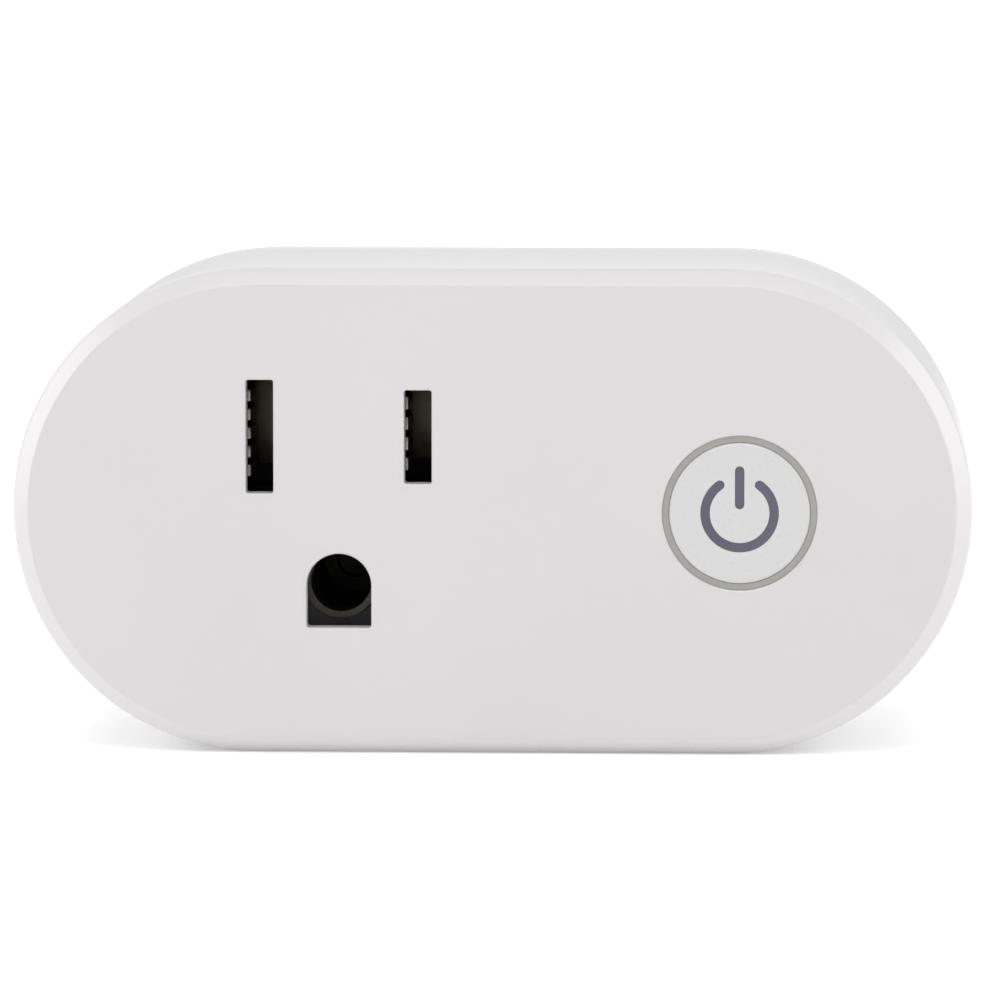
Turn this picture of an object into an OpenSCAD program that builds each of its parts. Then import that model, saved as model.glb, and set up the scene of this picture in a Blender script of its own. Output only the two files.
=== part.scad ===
// Smart plug: one switched three-hole outlet and a push button in an obround body.
// Millimetres. +X is right as seen from the front, +Y points to the wall, +Z is up.
// The body stands on its flat lower side at z = 0.

/* [Body] */
// Width of the body across its round ends
body_w = 77; // [76:0.5:80]
// Height of the body
body_h = 39; // [39:0.5:41]
// Depth of the body, front face to wall face
body_d = 30; // [30:0.5:32]
// Thickness of the side walls
wall = 1.8; // [1.6:0.1:1.8]
// Thickness of the front face
face_t = 2.0; // [1.8:0.1:2.2]
// Width of the bevel round the front face
bevel_w = 1.3; // [1.0:0.1:1.4]
// Depth of the bevel round the front face
bevel_d = 1.4; // [1.2:0.1:1.5]
// Radius of the wall-side edge
rear_edge_r = 1.0; // [0.6:0.1:1.2]
// Depth of the rear cover that shows outside
rear_rim_d = 4.0; // [3.8:0.1:4.2]
// Gap between fixed neighbours
fit_gap = 0.05; // [0.02:0.01:0.08]

/* [Outlet] */
// Middle of the outlet, from the middle of the body
outlet_x = -12.2; // [-13:0.1:-12]
// Distance between the two blade slots
blade_pitch = 12.7; // [12.7]
// Height of the blade slots above the middle of the body
slot_up = 6.0; // [5.9:0.05:6.1]
// Distance from the line of the slots down to the ground hole
ground_drop = 11.9; // [11.9]
// Width of both slots
slot_w = 2.2; // [2.1:0.05:2.4]
// Length of the neutral slot
neutral_slot_h = 9.1; // [8.8:0.1:9.2]
// Length of the line slot
line_slot_h = 7.5; // [7.2:0.1:7.6]
// Radius of the round top of the ground hole
ground_hole_r = 2.6; // [2.55:0.05:2.65]
// Distance from the middle of the ground hole to its flat lower edge
ground_hole_flat = 3.35; // [3.2:0.05:3.4]
// Distance from the axis of the ground pin down to the middle of the hole's round top
ground_hole_low = 0.1; // [0:0.05:0.15]
// Bore radius of the ground contact tube
ground_bore_r = 2.45; // [2.45:0.01:2.5]

/* [Blades] */
// Thickness of the blades
blade_t = 1.5; // [1.5]
// Width of the blades
blade_w = 6.35; // [6.35]
// Length of the blades outside the body
blade_l = 17.5; // [17:0.1:18.2]
// Radius of the ground pin
ground_pin_r = 2.4; // [2.38:0.01:2.41]
// Length of the ground pin outside the body
ground_pin_l = 20.6; // [20.6:0.1:21.4]

/* [Button] */
// Middle of the button, from the middle of the body
button_x = 19.9; // [19.5:0.1:20]
// Radius of the opening in the front face
button_hole_r = 6.2; // [6.15:0.05:6.25]
// Radius of the button cap
button_r = 5.65; // [5.6:0.05:5.65]
// Travel of the button
button_travel = 0.3; // [0.2:0.05:0.3]
// Middle radius of the ring in the power symbol
icon_r = 2.9; // [2.7:0.1:3.1]
// Line width of the power symbol
icon_line = 0.8; // [0.7:0.05:0.9]
// Half of the opening at the top of the symbol's ring, in degrees
icon_half_gap = 35; // [30:1:40]

/* [Hidden] */
$fn = 96;

// Planes across the depth
total_d = body_d + ground_pin_l;
front_y = -total_d / 2;
rear_y = front_y + body_d;
face_in_y = front_y + face_t;
seam_y = rear_y - rear_rim_d;
rear_plate_t = 2.0;
// Depth that posts and bosses run into the wall they stand on
root = 0.5;
rear_in_y = rear_y - rear_plate_t;
mid_z = body_h / 2;
end_x = (body_w - body_h) / 2;

// Outlet places
neutral_x = outlet_x - blade_pitch / 2;
line_x = outlet_x + blade_pitch / 2;
slot_z = mid_z + slot_up;
ground_z = slot_z - ground_drop;

// Rear cover tongue inside the front cover
tongue_t = 1.2;
tongue_d = 2.0;
hook_xs = [-14, 14];
hook_w = 6;

// Screws at both ends of the body
end_screw_x = 33.2;
boss_r = 2.6;
screw_r = 0.95;
screw_head_r = 2.1;
screw_head_t = 1.0;
screw_hole_r = 1.0;
counterbore_d = 1.2;
screw_end_y = -7.5;
boss_hole_y0 = -10;
boss_y1 = seam_y - tongue_d - 0.3;
rib_t = 1.4;

// Small screws inside, and the posts they go into
post_r = 2.2;
pilot_r = 0.85;
small_screw_r = 0.8;
small_head_t = 1.0;
small_screw_end_y = 2.2;
under_head = 0.05;

// Contact carrier
carrier_w = 27;
carrier_h = 28;
carrier_z = mid_z;
carrier_y0 = face_in_y + fit_gap;
carrier_y1 = -6.05;
carrier_front_t = 1.0;
carrier_back_t = 1.1;
carrier_back_y = carrier_y1 + fit_gap;
cavity_w = 5.2;
cavity_h = 10.6;

// Contacts
contact_t = 0.5;
contact_gap = 0.85;
leaf_reach = 1.95;
contact_mouth_y = face_in_y + 1.5;
contact_base_y = carrier_y1 - contact_t - fit_gap;
neutral_leaf_h = 7.6;
line_leaf_h = 6.6;
tube_t = 0.5;
tube_y0 = face_in_y + 1.3;
tube_y1 = -6.6;

// Blade roots and their holder
shoulder_y0 = 0.7;
shoulder_y1 = rear_in_y - fit_gap;
shoulder_w = 8.6;
holder_y0 = -1.4;
holder_y1 = shoulder_y0 - fit_gap;
root_y = -4.6;
pin_shoulder_r = 3.0;
pin_flange_r = 4.2;
pin_post_r = 1.6;
pin_post_y = -3.3;
strap_y0 = -2.9;
strap_y1 = -2.3;
holder_screw_xz = [[outlet_x, 28.6], [neutral_x - 1.0, 11.6], [line_x + 1.0, 11.6]];

// Main board
board_t = 1.6;
board_y1 = -0.2;
board_y0 = board_y1 - board_t;
board_x0 = 2.5;
board_r = 16.1;
board_screw_xz = [[6.2, 32.2], [29.2, 27.6]];
lead_r = 0.3;
lead_hole_r = 0.45;
lead_tail_y = 1.0;

// Control board behind the button
control_y1 = -16.6;
control_t = 1.0;
control_y0 = control_y1 - control_t;
control_x0 = 8.5;
control_x1 = 29.5;
control_z0 = 14.2;
control_z1 = 32.0;
control_post_xz = [[10.8, 29.8], [27.6, 29.8]];
control_post_r = 2.0;

// Button, light ring and collar
collar_in_r = 8.1;
collar_out_r = 9.1;
ring_lip_drop = 0.25;
ring_flange_r = 8.0;
ring_flange_t = 0.95;
ring_leg_r = 0.55;
ring_leg_at_r = 7.4;
led_angles = [30, 150];
led_h = 0.7;
button_gap = 0.1;
button_flange_r = 6.5;
button_flange_y0 = face_in_y + 1.1;
button_flange_t = 0.8;
button_skirt_r = 4.6;
button_cap_t = 1.4;
button_stem_r = 1.5;
icon_d = 0.3;
key_w = 1.2;
key_y1 = button_flange_y0 + button_flange_t + button_travel + 1.6;

// Tact switch
switch_w = 6.0;
switch_y = control_y0 - fit_gap;
switch_base_t = 3.1;
switch_cover_t = 0.3;
plunger_r = 1.75;
plunger_y0 = -21.9;

// Relay
relay_x0 = 3.2;
relay_w = 18.4;
relay_z0 = 3.6;
relay_h = 10.0;
relay_d = 15.2;
relay_wall = 0.7;
relay_y1 = board_y0 - 0.1;
relay_y0 = relay_y1 - relay_d;
relay_z = relay_z0 + relay_h / 2;
relay_base_t = 1.5;
coil_x = relay_x0 + 6.2;
coil_y0 = -13.2;
coil_y1 = -4.35;
flange_t = 0.7;
core_r = 1.9;
core_head_y = coil_y0 - 0.7;
iron_h = 6.6;
armature_y1 = core_head_y - 0.5;
armature_t = 0.8;
contact_x = relay_x0 + 15.6;
relay_pin_xz = [[relay_x0 + 1.6, relay_z - 3.4], [relay_x0 + 1.6, relay_z + 3.4],
    [relay_x0 + 10.4, relay_z], [relay_x0 + 16.7, relay_z]];

// Parts on the main board: middle in x and z
input_cap_xz = [26.8, 10.6];
input_cap_r = 4.0;
input_cap_l = 12.0;
output_cap_xz = [16.8, 20.8];
output_cap_r = 3.15;
output_cap_l = 7.7;
film_cap_xz = [15.6, 32.4];
film_cap_size = [13.0, 10.4, 5.0];
varistor_xz = [10.4, 26.6];
varistor_r = 3.7;
varistor_t = 3.0;
fuse_xz = [20.6, 26.6];
fuse_size = [8.4, 7.6, 4.0];
inductor_xz = [10.0, 20.8];
inductor_r = 3.0;
inductor_l = 7.6;
bridge_xz = [23.6, 21.0];
chip_xz = [28.2, 23.0];
header_x0 = 10.0;
header_z = 15.6;
header_pitch = 2.0;
header_pins = 6;
header_xz = [for (i = [0:header_pins - 1]) [header_x0 + i * header_pitch, header_z]];
two_lead_parts = [[input_cap_xz, 1.75], [output_cap_xz, 1.25], [film_cap_xz, 5.0],
    [varistor_xz, 2.5], [fuse_xz, 2.54], [inductor_xz, 1.5]];
part_lead_xz = [for (p = two_lead_parts) for (side = [-1, 1]) [p[0].x + side * p[1], p[0].y]];

// Radio module on the back of the control board
radio_w = 12.4;
radio_h = 15.0;
radio_x = 19.2;
radio_z0 = 17.0;
radio_t = 0.8;
radio_y0 = control_y1 + fit_gap;
radio_y1 = radio_y0 + radio_t;
shield_t = 2.1;
trace_t = 0.06;

// Leads between the outlet and the main board
wire_r = 0.8;
wire_bend = 1.4;
wire_y = board_y0 - wire_bend;
wire_end_x = 4.4;
line_lead_z = 24.4;
load_lead_z = 28.4;
neutral_lead_z = 21.2;

// Rear label
label_x0 = 2.5;
label_x1 = 29.5;
label_z0 = 7.5;
label_z1 = 31.5;
label_t = 0.15;
label_recess = 0.2;

// Pushes a drawing in x and z from y0 to y1
module along_y(y0, y1) {
    translate([0, y1, 0]) rotate([90, 0, 0]) linear_extrude(y1 - y0) children();
}

// Round bar along y
module bar_y(x, z, y0, y1, r) {
    translate([x, y0, z]) rotate([-90, 0, 0]) cylinder(h = y1 - y0, r = r);
}

// Box between two corners
module block(low, high) {
    translate(low) cube(high - low);
}

// Box with its middle in x and z, and its ends in y
module slab(x, z, w, h, y0, y1) {
    block([x - w / 2, y0, z - h / 2], [x + w / 2, y1, z + h / 2]);
}

// Flat obround outline about the middle of the body
module obround(w, h) {
    translate([0, mid_z]) {
        square([w - h, h], center = true);
        for (side = [-1, 1]) translate([side * (w - h) / 2, 0]) circle(r = h / 2);
    }
}

// Flat rectangle with round corners, with its middle at x and z
module rounded_rect(x, z, w, h, r) {
    translate([x, z]) {
        square([w, h - 2 * r], center = true);
        square([w - 2 * r, h], center = true);
        for (sx = [-1, 1], sz = [-1, 1]) translate([sx * (w / 2 - r), sz * (h / 2 - r)]) circle(r = r);
    }
}

// Half section of a disc with its lower outer corner rounded
module edge_profile(r, d, f) {
    square([r - f, d]);
    translate([0, f]) square([r, d - f]);
    translate([r - f, f]) circle(r = f);
}

// Half section of a disc with its lower outer corner bevelled
module bevel_profile(r, d) {
    polygon([[0, 0], [r - bevel_w, 0], [r, bevel_d], [r, d], [0, d]]);
}

// Obround block from y = 0, whose half section is the child
module edged_obround(w, h) {
    straight = w - h;
    translate([0, 0, mid_z]) {
        for (side = [0, 1])
            mirror([side, 0, 0]) translate([straight / 2, 0, 0])
                rotate([-90, 0, 0]) rotate([0, 0, -90])
                    rotate_extrude(angle = 180) children();
        rotate([90, 0, 90]) linear_extrude(straight, center = true)
            for (side = [0, 1]) mirror([0, side]) mirror([1, -1]) children();
    }
}

// Round top and flat lower edge, about the middle of the ground hole
module ground_outline(extra) {
    r = ground_hole_r + extra;
    translate([outlet_x, ground_z - ground_hole_low]) {
        circle(r = r);
        translate([-r, -ground_hole_flat - extra]) square([2 * r, ground_hole_flat + extra]);
    }
}

// The three openings of the outlet, wider than the face's by extra all round
module outlet_holes(y0, y1, extra) {
    slab(neutral_x, slot_z, slot_w + 2 * extra, neutral_slot_h + 2 * extra, y0, y1);
    slab(line_x, slot_z, slot_w + 2 * extra, line_slot_h + 2 * extra, y0, y1);
    along_y(y0, y1) ground_outline(extra);
}

// Tube along y
module tube_y(x, z, y0, y1, r_out, r_in) {
    difference() {
        bar_y(x, z, y0, y1, r_out);
        bar_y(x, z, y0 - 1, y1 + 1, r_in);
    }
}

// Round leads through the main board at the given places
module board_leads(places) {
    for (p = places) bar_y(p.x, p.y, board_y0 - 0.1, lead_tail_y, lead_r);
}

// Pan-head screw pointing along +y from its head
module screw_in(x, z, head_y, end_y, r) {
    bar_y(x, z, head_y, end_y, r);
    bar_y(x, z, head_y, head_y + small_head_t, 2.0 * r);
}

module front_cover() {
    color("#f0eff1") difference() {
        union() {
            difference() {
                translate([0, front_y, 0]) edged_obround(body_w, body_h)
                    bevel_profile(body_h / 2, seam_y - front_y);
                along_y(face_in_y, seam_y + 1) obround(body_w - 2 * wall, body_h - 2 * wall);
            }
            // collar round the button, which also carries the control board
            bar_y(button_x, mid_z, face_in_y - root, control_y0 - fit_gap, collar_out_r);
            for (p = control_post_xz)
                bar_y(p.x, p.y, face_in_y - root, control_y0 - fit_gap, control_post_r);
            // end bosses, tied to the side walls by ribs
            for (side = [-1, 1]) {
                bar_y(side * end_screw_x, mid_z, face_in_y - root, boss_y1, boss_r);
                slab(side * (end_screw_x + 2), mid_z, 3.6, rib_t, face_in_y - root, boss_y1);
            }
            // ribs that locate the contact carrier
            for (side = [-1, 1])
                slab(outlet_x + side * (carrier_w / 2 + 0.75), mid_z, 1.2, 18, face_in_y - root, face_in_y + 5);
        }
        outlet_holes(front_y - 1, face_in_y + 1, 0);
        bar_y(button_x, mid_z, front_y - 1, face_in_y + 1, button_hole_r);
        bar_y(button_x, mid_z, face_in_y, seam_y, collar_in_r);
        // keyway for the button in the lower side of the collar
        slab(button_x, mid_z - collar_in_r, key_w + 0.6, 1.2, button_flange_y0 - 0.4, key_y1);
        for (side = [-1, 1]) bar_y(side * end_screw_x, mid_z, boss_hole_y0, seam_y, screw_hole_r);
        for (p = control_post_xz) bar_y(p.x, p.y, face_in_y + 0.5, control_y0 + 1, 0.75);
        // recesses for the snap hooks
        for (x = hook_xs, z = [wall - 0.35, body_h - wall + 0.35])
            slab(x, z, hook_w + 0.6, 0.9, seam_y - tongue_d + 0.05, seam_y - 0.75);
    }
}

module rear_cover() {
    inner_w = body_w - 2 * wall - 2 * fit_gap;
    inner_h = body_h - 2 * wall - 2 * fit_gap;
    color("#ecebed") difference() {
        union() {
            difference() {
                translate([0, rear_y, 0]) mirror([0, 1, 0]) edged_obround(body_w, body_h)
                    edge_profile(body_h / 2, rear_rim_d - fit_gap, rear_edge_r);
                along_y(seam_y - 1, rear_in_y) obround(inner_w - 2 * tongue_t, inner_h - 2 * tongue_t);
            }
            // tongue inside the front cover, open at both end bosses
            difference() {
                along_y(seam_y - tongue_d, seam_y + 0.5) obround(inner_w, inner_h);
                along_y(seam_y - tongue_d - 1, rear_in_y)
                    obround(inner_w - 2 * tongue_t, inner_h - 2 * tongue_t);
            }
            // snap hooks
            for (x = hook_xs, side = [-1, 1])
                slab(x, mid_z + side * (inner_h / 2 - 0.1), hook_w, 0.9,
                    seam_y - tongue_d + 0.2, seam_y - 0.9);
            // posts under the main board, the blade holder and the carrier
            for (p = board_screw_xz) bar_y(p.x, p.y, board_y1 + fit_gap, rear_in_y + root, post_r);
            for (p = holder_screw_xz) bar_y(p.x, p.y, holder_y1 + fit_gap, rear_in_y + root, post_r);
            for (sx = [-1, 1], sz = [-1, 1])
                bar_y(outlet_x + sx * 11.8, mid_z + sz * 12.3, carrier_back_y + carrier_back_t + fit_gap,
                    rear_in_y + root, 1.6);
        }
        for (x = [neutral_x, line_x])
            slab(x, slot_z, blade_t + 0.1, blade_w + 0.1, rear_in_y - 1, rear_y + 1);
        bar_y(outlet_x, ground_z, rear_in_y - 1, rear_y + 1, pin_shoulder_r + fit_gap);
        for (side = [-1, 1]) {
            bar_y(side * end_screw_x, mid_z, seam_y - tongue_d - 1, rear_y + 1, screw_r + 0.25);
            bar_y(side * end_screw_x, mid_z, rear_y - counterbore_d, rear_y + 1, screw_head_r + 0.2);
        }
        for (p = board_screw_xz) bar_y(p.x, p.y, board_y1 - 1, rear_in_y, pilot_r);
        for (p = holder_screw_xz) bar_y(p.x, p.y, holder_y1 - 1, rear_in_y + 0.4, pilot_r);
        block([label_x0 - 0.1, rear_y - label_recess, label_z0 - 0.1],
            [label_x1 + 0.1, rear_y + 1, label_z1 + 0.1]);
    }
}

module cover_screws() {
    color("#9a9da3") for (side = [-1, 1]) {
        head_y = rear_y - counterbore_d + fit_gap;
        difference() {
            union() {
                bar_y(side * end_screw_x, mid_z, screw_end_y, head_y + 0.1, screw_r);
                bar_y(side * end_screw_x, mid_z, head_y, head_y + screw_head_t, screw_head_r);
            }
            // cross recess
            for (turn = [0, 90])
                translate([side * end_screw_x, head_y + screw_head_t, mid_z]) rotate([0, turn, 0])
                    cube([2.4, 1.2, 0.5], center = true);
        }
    }
}

module rear_label() {
    color("#dcdde0") along_y(rear_y - label_recess + 0.01, rear_y - label_recess + 0.01 + label_t)
        rounded_rect((label_x0 + label_x1) / 2, (label_z0 + label_z1) / 2,
            label_x1 - label_x0, label_z1 - label_z0, 1.2);
}

module power_button() {
    back_y = button_flange_y0 + button_flange_t;
    color("#efeef0") difference() {
        union() {
            translate([button_x, front_y, mid_z]) rotate([-90, 0, 0])
                rotate_extrude() edge_profile(button_r, back_y - front_y, 0.25);
            bar_y(button_x, mid_z, button_flange_y0, back_y, button_flange_r);
            slab(button_x, mid_z - button_flange_r - 0.5, key_w, 2.0, button_flange_y0, back_y);
        }
        difference() {
            bar_y(button_x, mid_z, front_y + button_cap_t, back_y + 1, button_skirt_r);
            bar_y(button_x, mid_z, front_y, plunger_y0 - fit_gap, button_stem_r);
        }
        along_y(front_y - 1, front_y + icon_d) icon_outline(0.01);
    }
}

// Power symbol: an open ring and a bar, drawn wider by extra
module icon_outline(extra) {
    half = icon_line / 2 + extra;
    bar_low = 0.4;
    bar_high = 3.5;
    translate([button_x, mid_z]) {
        difference() {
            circle(r = icon_r + half);
            circle(r = icon_r - half);
            polygon([[0, 0], [-6 * tan(icon_half_gap), 6], [6 * tan(icon_half_gap), 6]]);
        }
        for (side = [-1, 1])
            translate([side * icon_r * sin(icon_half_gap), icon_r * cos(icon_half_gap)]) circle(r = half);
        translate([-half, bar_low]) square([2 * half, bar_high - bar_low]);
        for (z = [bar_low, bar_high]) translate([0, z]) circle(r = half);
    }
}

module power_icon() {
    color("#6e6c7d") along_y(front_y, front_y + icon_d - 0.01) icon_outline(0);
}

module button_light_ring() {
    lip_in_r = button_r + button_gap;
    flange_y1 = face_in_y + fit_gap + ring_flange_t;
    color("#c9c8c6") {
        difference() {
            union() {
                bar_y(button_x, mid_z, front_y + ring_lip_drop, flange_y1, button_hole_r - fit_gap);
                bar_y(button_x, mid_z, face_in_y + fit_gap, flange_y1, ring_flange_r);
                for (a = led_angles)
                    bar_y(button_x + ring_leg_at_r * cos(a), mid_z + ring_leg_at_r * sin(a),
                        flange_y1 - 0.5, control_y0 - led_h - 0.15, ring_leg_r);
            }
            bar_y(button_x, mid_z, front_y, flange_y1 + 0.01, lip_in_r);
        }
    }
}

module contact_carrier() {
    color("#1b1b1d") difference() {
        along_y(carrier_y0, carrier_y1) rounded_rect(outlet_x, carrier_z, carrier_w, carrier_h, 2);
        outlet_holes(carrier_y0 - 1, carrier_y0 + carrier_front_t + 1, 0.2);
        for (x = [neutral_x, line_x])
            slab(x + 0.35, slot_z, cavity_w + 0.7, cavity_h, carrier_y0 + carrier_front_t, carrier_y1 + 1);
        bar_y(outlet_x, ground_z, carrier_y0 + carrier_front_t, carrier_y1 + 1, ground_bore_r + tube_t + 0.1);
        // channel for the ground strap
        slab(outlet_x, ground_z - 3.3, 4.4, 2.0, -10, carrier_y1 + 1);
    }
}

module carrier_back() {
    y0 = carrier_back_y;
    y1 = carrier_back_y + carrier_back_t;
    color("#242427") difference() {
        along_y(y0, y1) rounded_rect(outlet_x, carrier_z, carrier_w, carrier_h, 2);
        slab(neutral_x + 1.1, 23.2, 1.0, 8.0, y0 - 1, y1 + 1);
        slab(line_x + 2.25, 28.4, 1.0, 3.8, y0 - 1, y1 + 1);
        bar_y(outlet_x, ground_z, y0 - 1, y1 + 1, 2.9);
        slab(outlet_x, ground_z - 3.3, 4.4, 2.0, y0 - 1, y1 + 1);
    }
}

// One spring leaf of a blade contact, on the +x side of the slot
module leaf_outline(mouth_y, base_y) {
    out_x = leaf_reach - contact_t;
    path = [[1.75, mouth_y], [contact_gap, mouth_y + 3.2], [contact_gap, mouth_y + 4.6],
        [out_x, mouth_y + 7.6], [out_x, base_y + contact_t]];
    last = len(path) - 1;
    polygon(concat(path, [for (i = [last:-1:0]) [path[i].x + contact_t, path[i].y]]));
}

// Blade contact: two leaves on a base strip, whose tab runs back at x = tab_x
module blade_contact(x, leaf_h, tab_x, tab_z0, tab_z1, tab_y) {
    translate([x, 0, slot_z - leaf_h / 2]) linear_extrude(leaf_h) {
        for (side = [0, 1]) mirror([side, 0]) leaf_outline(contact_mouth_y, contact_base_y);
        translate([-leaf_reach, contact_base_y])
            square([leaf_reach + max(leaf_reach, tab_x - x + contact_t), contact_t]);
    }
    block([tab_x, contact_base_y, tab_z0], [tab_x + contact_t, tab_y, tab_z1]);
}

module neutral_contact() {
    color("#c9a24b") blade_contact(neutral_x, neutral_leaf_h, neutral_x + 0.85, 20.4, 27.0, -1.9);
}

module line_contact() {
    color("#c9a24b") blade_contact(line_x, line_leaf_h, line_x + 2.0, 26.8, 30.0, -2.2);
}

module ground_contact() {
    out_r = ground_bore_r + tube_t;
    strap_z0 = ground_z - 3.9;
    color("#c9a24b") difference() {
        union() {
            bar_y(outlet_x, ground_z, tube_y0, tube_y1, out_r);
            // strap from the tube's lower side to the ground pin
            block([outlet_x - 2, tube_y1 - 2.6, strap_z0], [outlet_x + 2, strap_y1, strap_z0 + 0.6]);
            block([outlet_x - 2, tube_y1 - 2.6, strap_z0], [outlet_x + 2, tube_y1 - 1.4, ground_z - 2]);
            block([outlet_x - 2, strap_y0, strap_z0], [outlet_x + 2, strap_y1, ground_z]);
            bar_y(outlet_x, ground_z, strap_y0, strap_y1, 2.6);
        }
        bar_y(outlet_x, ground_z, tube_y0 - 1, strap_y0 - 0.01, ground_bore_r);
        bar_y(outlet_x, ground_z, strap_y0 - 1, strap_y1 + 1, pin_post_r + fit_gap);
    }
}

// Blade with a chamfered tip, a shoulder inside the rear cover and a root for its lead
module blade(x) {
    tip_y = rear_y + blade_l;
    half_t = blade_t / 2;
    half_w = blade_w / 2;
    tip_c = 0.5;
    difference() {
        union() {
            // tapered in thickness and in width at the tip
            intersection() {
                translate([x, 0, slot_z - half_w]) linear_extrude(blade_w)
                    polygon([[-half_t, root_y], [half_t, root_y], [half_t, tip_y - 1.6],
                        [half_t - tip_c, tip_y], [-half_t + tip_c, tip_y], [-half_t, tip_y - 1.6]]);
                translate([x - half_t, 0, slot_z]) rotate([90, 0, 90]) linear_extrude(blade_t)
                    polygon([[root_y, -half_w], [tip_y - 1.0, -half_w], [tip_y, -half_w + 1.0],
                        [tip_y, half_w - 1.0], [tip_y - 1.0, half_w], [root_y, half_w]]);
            }
            slab(x, slot_z, blade_t, shoulder_w, shoulder_y0, shoulder_y1);
        }
        // hole near the tip
        translate([x - 2, rear_y + 11.9, slot_z]) rotate([0, 90, 0]) cylinder(h = 4, r = 1.6);
    }
}

module neutral_blade() {
    color("#c8c6c0") blade(neutral_x);
}

module line_blade() {
    color("#c8c6c0") blade(line_x);
}

module ground_pin() {
    tip_y = rear_y + ground_pin_l;
    color("#c8c6c0") {
        bar_y(outlet_x, ground_z, rear_y, tip_y - ground_pin_r, ground_pin_r);
        // round tip
        translate([outlet_x, tip_y - ground_pin_r, ground_z]) rotate([-90, 0, 0])
            rotate_extrude() intersection() {
                circle(r = ground_pin_r);
                square(ground_pin_r);
            }
        bar_y(outlet_x, ground_z, shoulder_y1 - 0.5, rear_y, pin_shoulder_r);
        bar_y(outlet_x, ground_z, shoulder_y0, shoulder_y1, pin_flange_r);
        bar_y(outlet_x, ground_z, pin_post_y, shoulder_y0 + 0.5, pin_post_r);
    }
}

module blade_holder() {
    color("#2c2c30") difference() {
        along_y(holder_y0, holder_y1) rounded_rect(outlet_x, 20.0, 21.4, 23.4, 2);
        for (x = [neutral_x, line_x])
            slab(x, slot_z, blade_t + 0.1, blade_w + 0.1, holder_y0 - 1, holder_y1 + 1);
        slab(neutral_x + 1.1, 23.2, 1.0, 8.0, holder_y0 - 1, holder_y0 + 0.4);
        bar_y(outlet_x, ground_z, holder_y0 - 1, holder_y1 + 1, pin_post_r + fit_gap);
        for (p = holder_screw_xz) bar_y(p.x, p.y, holder_y0 - 1, holder_y1 + 1, 1.0);
    }
}

module holder_screws() {
    color("#9a9da3") for (p = holder_screw_xz) screw_in(p.x, p.y, holder_y0 - small_head_t - under_head,
        small_screw_end_y, small_screw_r);
}

// Main board outline: straight at the left, round at the right
module main_board_outline(shrink) {
    difference() {
        translate([end_x, mid_z]) {
            circle(r = board_r - shrink);
            translate([board_x0 + shrink - end_x, -board_r + shrink])
                square([end_x - board_x0 - shrink, 2 * (board_r - shrink)]);
        }
        translate([-20, 0]) square([20 + board_x0 + shrink, body_h]);
        translate([end_screw_x, mid_z]) circle(r = boss_r + 0.5 + shrink);
    }
}

module main_board() {
    color("#2f6b3c") difference() {
        along_y(board_y0, board_y1) main_board_outline(0);
        for (p = concat(part_lead_xz, header_xz)) bar_y(p.x, p.y, board_y0 - 1, board_y1 + 1, lead_hole_r);
        for (p = relay_pin_xz) bar_y(p.x, p.y, board_y0 - 1, board_y1 + 1, 0.6);
        for (p = board_screw_xz) bar_y(p.x, p.y, board_y0 - 1, board_y1 + 1, 1.1);
    }
}

module board_screws() {
    color("#9a9da3") for (p = board_screw_xz) screw_in(p.x, p.y, board_y0 - small_head_t - under_head,
        small_screw_end_y, small_screw_r);
}

module insulation_sheet() {
    color("#d9cf9a") difference() {
        along_y(rear_in_y - 0.35, rear_in_y - fit_gap) main_board_outline(0.4);
        for (p = board_screw_xz) bar_y(p.x, p.y, 1, rear_in_y + 1, 2.5);
    }
}

module relay_base() {
    w = relay_w - 2 * relay_wall - 0.2;
    h = relay_h - 2 * relay_wall - 0.2;
    color("#2b3a55") difference() {
        slab(relay_x0 + relay_w / 2, relay_z, w, h, relay_y1 - relay_base_t, relay_y1);
        for (p = relay_pin_xz)
            bar_y(p.x, p.y, relay_y1 - relay_base_t - 1, relay_y1 + 1, 0.4 + fit_gap);
    }
}

module relay_case() {
    mid_x = relay_x0 + relay_w / 2;
    color("#2456a8") difference() {
        slab(mid_x, relay_z, relay_w, relay_h, relay_y0, relay_y1);
        slab(mid_x, relay_z, relay_w - 2 * relay_wall, relay_h - 2 * relay_wall,
            relay_y0 + relay_wall, relay_y1 + 1);
    }
}

module relay_bobbin() {
    color("#e8e4d8") difference() {
        union() {
            bar_y(coil_x, relay_z, coil_y0, coil_y1, 2.4);
            for (y = [coil_y0, coil_y1 - flange_t])
                slab(coil_x, relay_z, 8.0, 8.0, y, y + flange_t);
        }
        bar_y(coil_x, relay_z, coil_y0 - 1, coil_y1 + 1, core_r + fit_gap);
    }
}

module relay_coil() {
    color("#b4622e") tube_y(coil_x, relay_z, coil_y0 + flange_t + fit_gap,
        coil_y1 - flange_t - fit_gap, 3.7, 2.4 + fit_gap);
}

module relay_core() {
    color("#a7a9ac") {
        bar_y(coil_x, relay_z, coil_y0 - 0.3, -3.5, core_r);
        bar_y(coil_x, relay_z, core_head_y, coil_y0 - fit_gap, 3.2);
    }
}

module relay_yoke() {
    foot_y = -3.45;
    color("#9a9ca0") difference() {
        union() {
            block([relay_x0 + 0.9, armature_y1 + 0.1, relay_z - iron_h / 2],
                [relay_x0 + 1.8, foot_y, relay_z + iron_h / 2]);
            block([relay_x0 + 0.9, coil_y1 + fit_gap, relay_z - iron_h / 2],
                [coil_x + 3.4, foot_y, relay_z + iron_h / 2]);
        }
        bar_y(coil_x, relay_z, coil_y1 - 1, foot_y + 1, core_r + 0.02);
    }
}

module relay_armature() {
    color("#b3b5b8") block([relay_x0 + 1.1, armature_y1 - armature_t, relay_z - iron_h / 2],
        [relay_x0 + 11.4, armature_y1, relay_z + iron_h / 2]);
}

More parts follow.
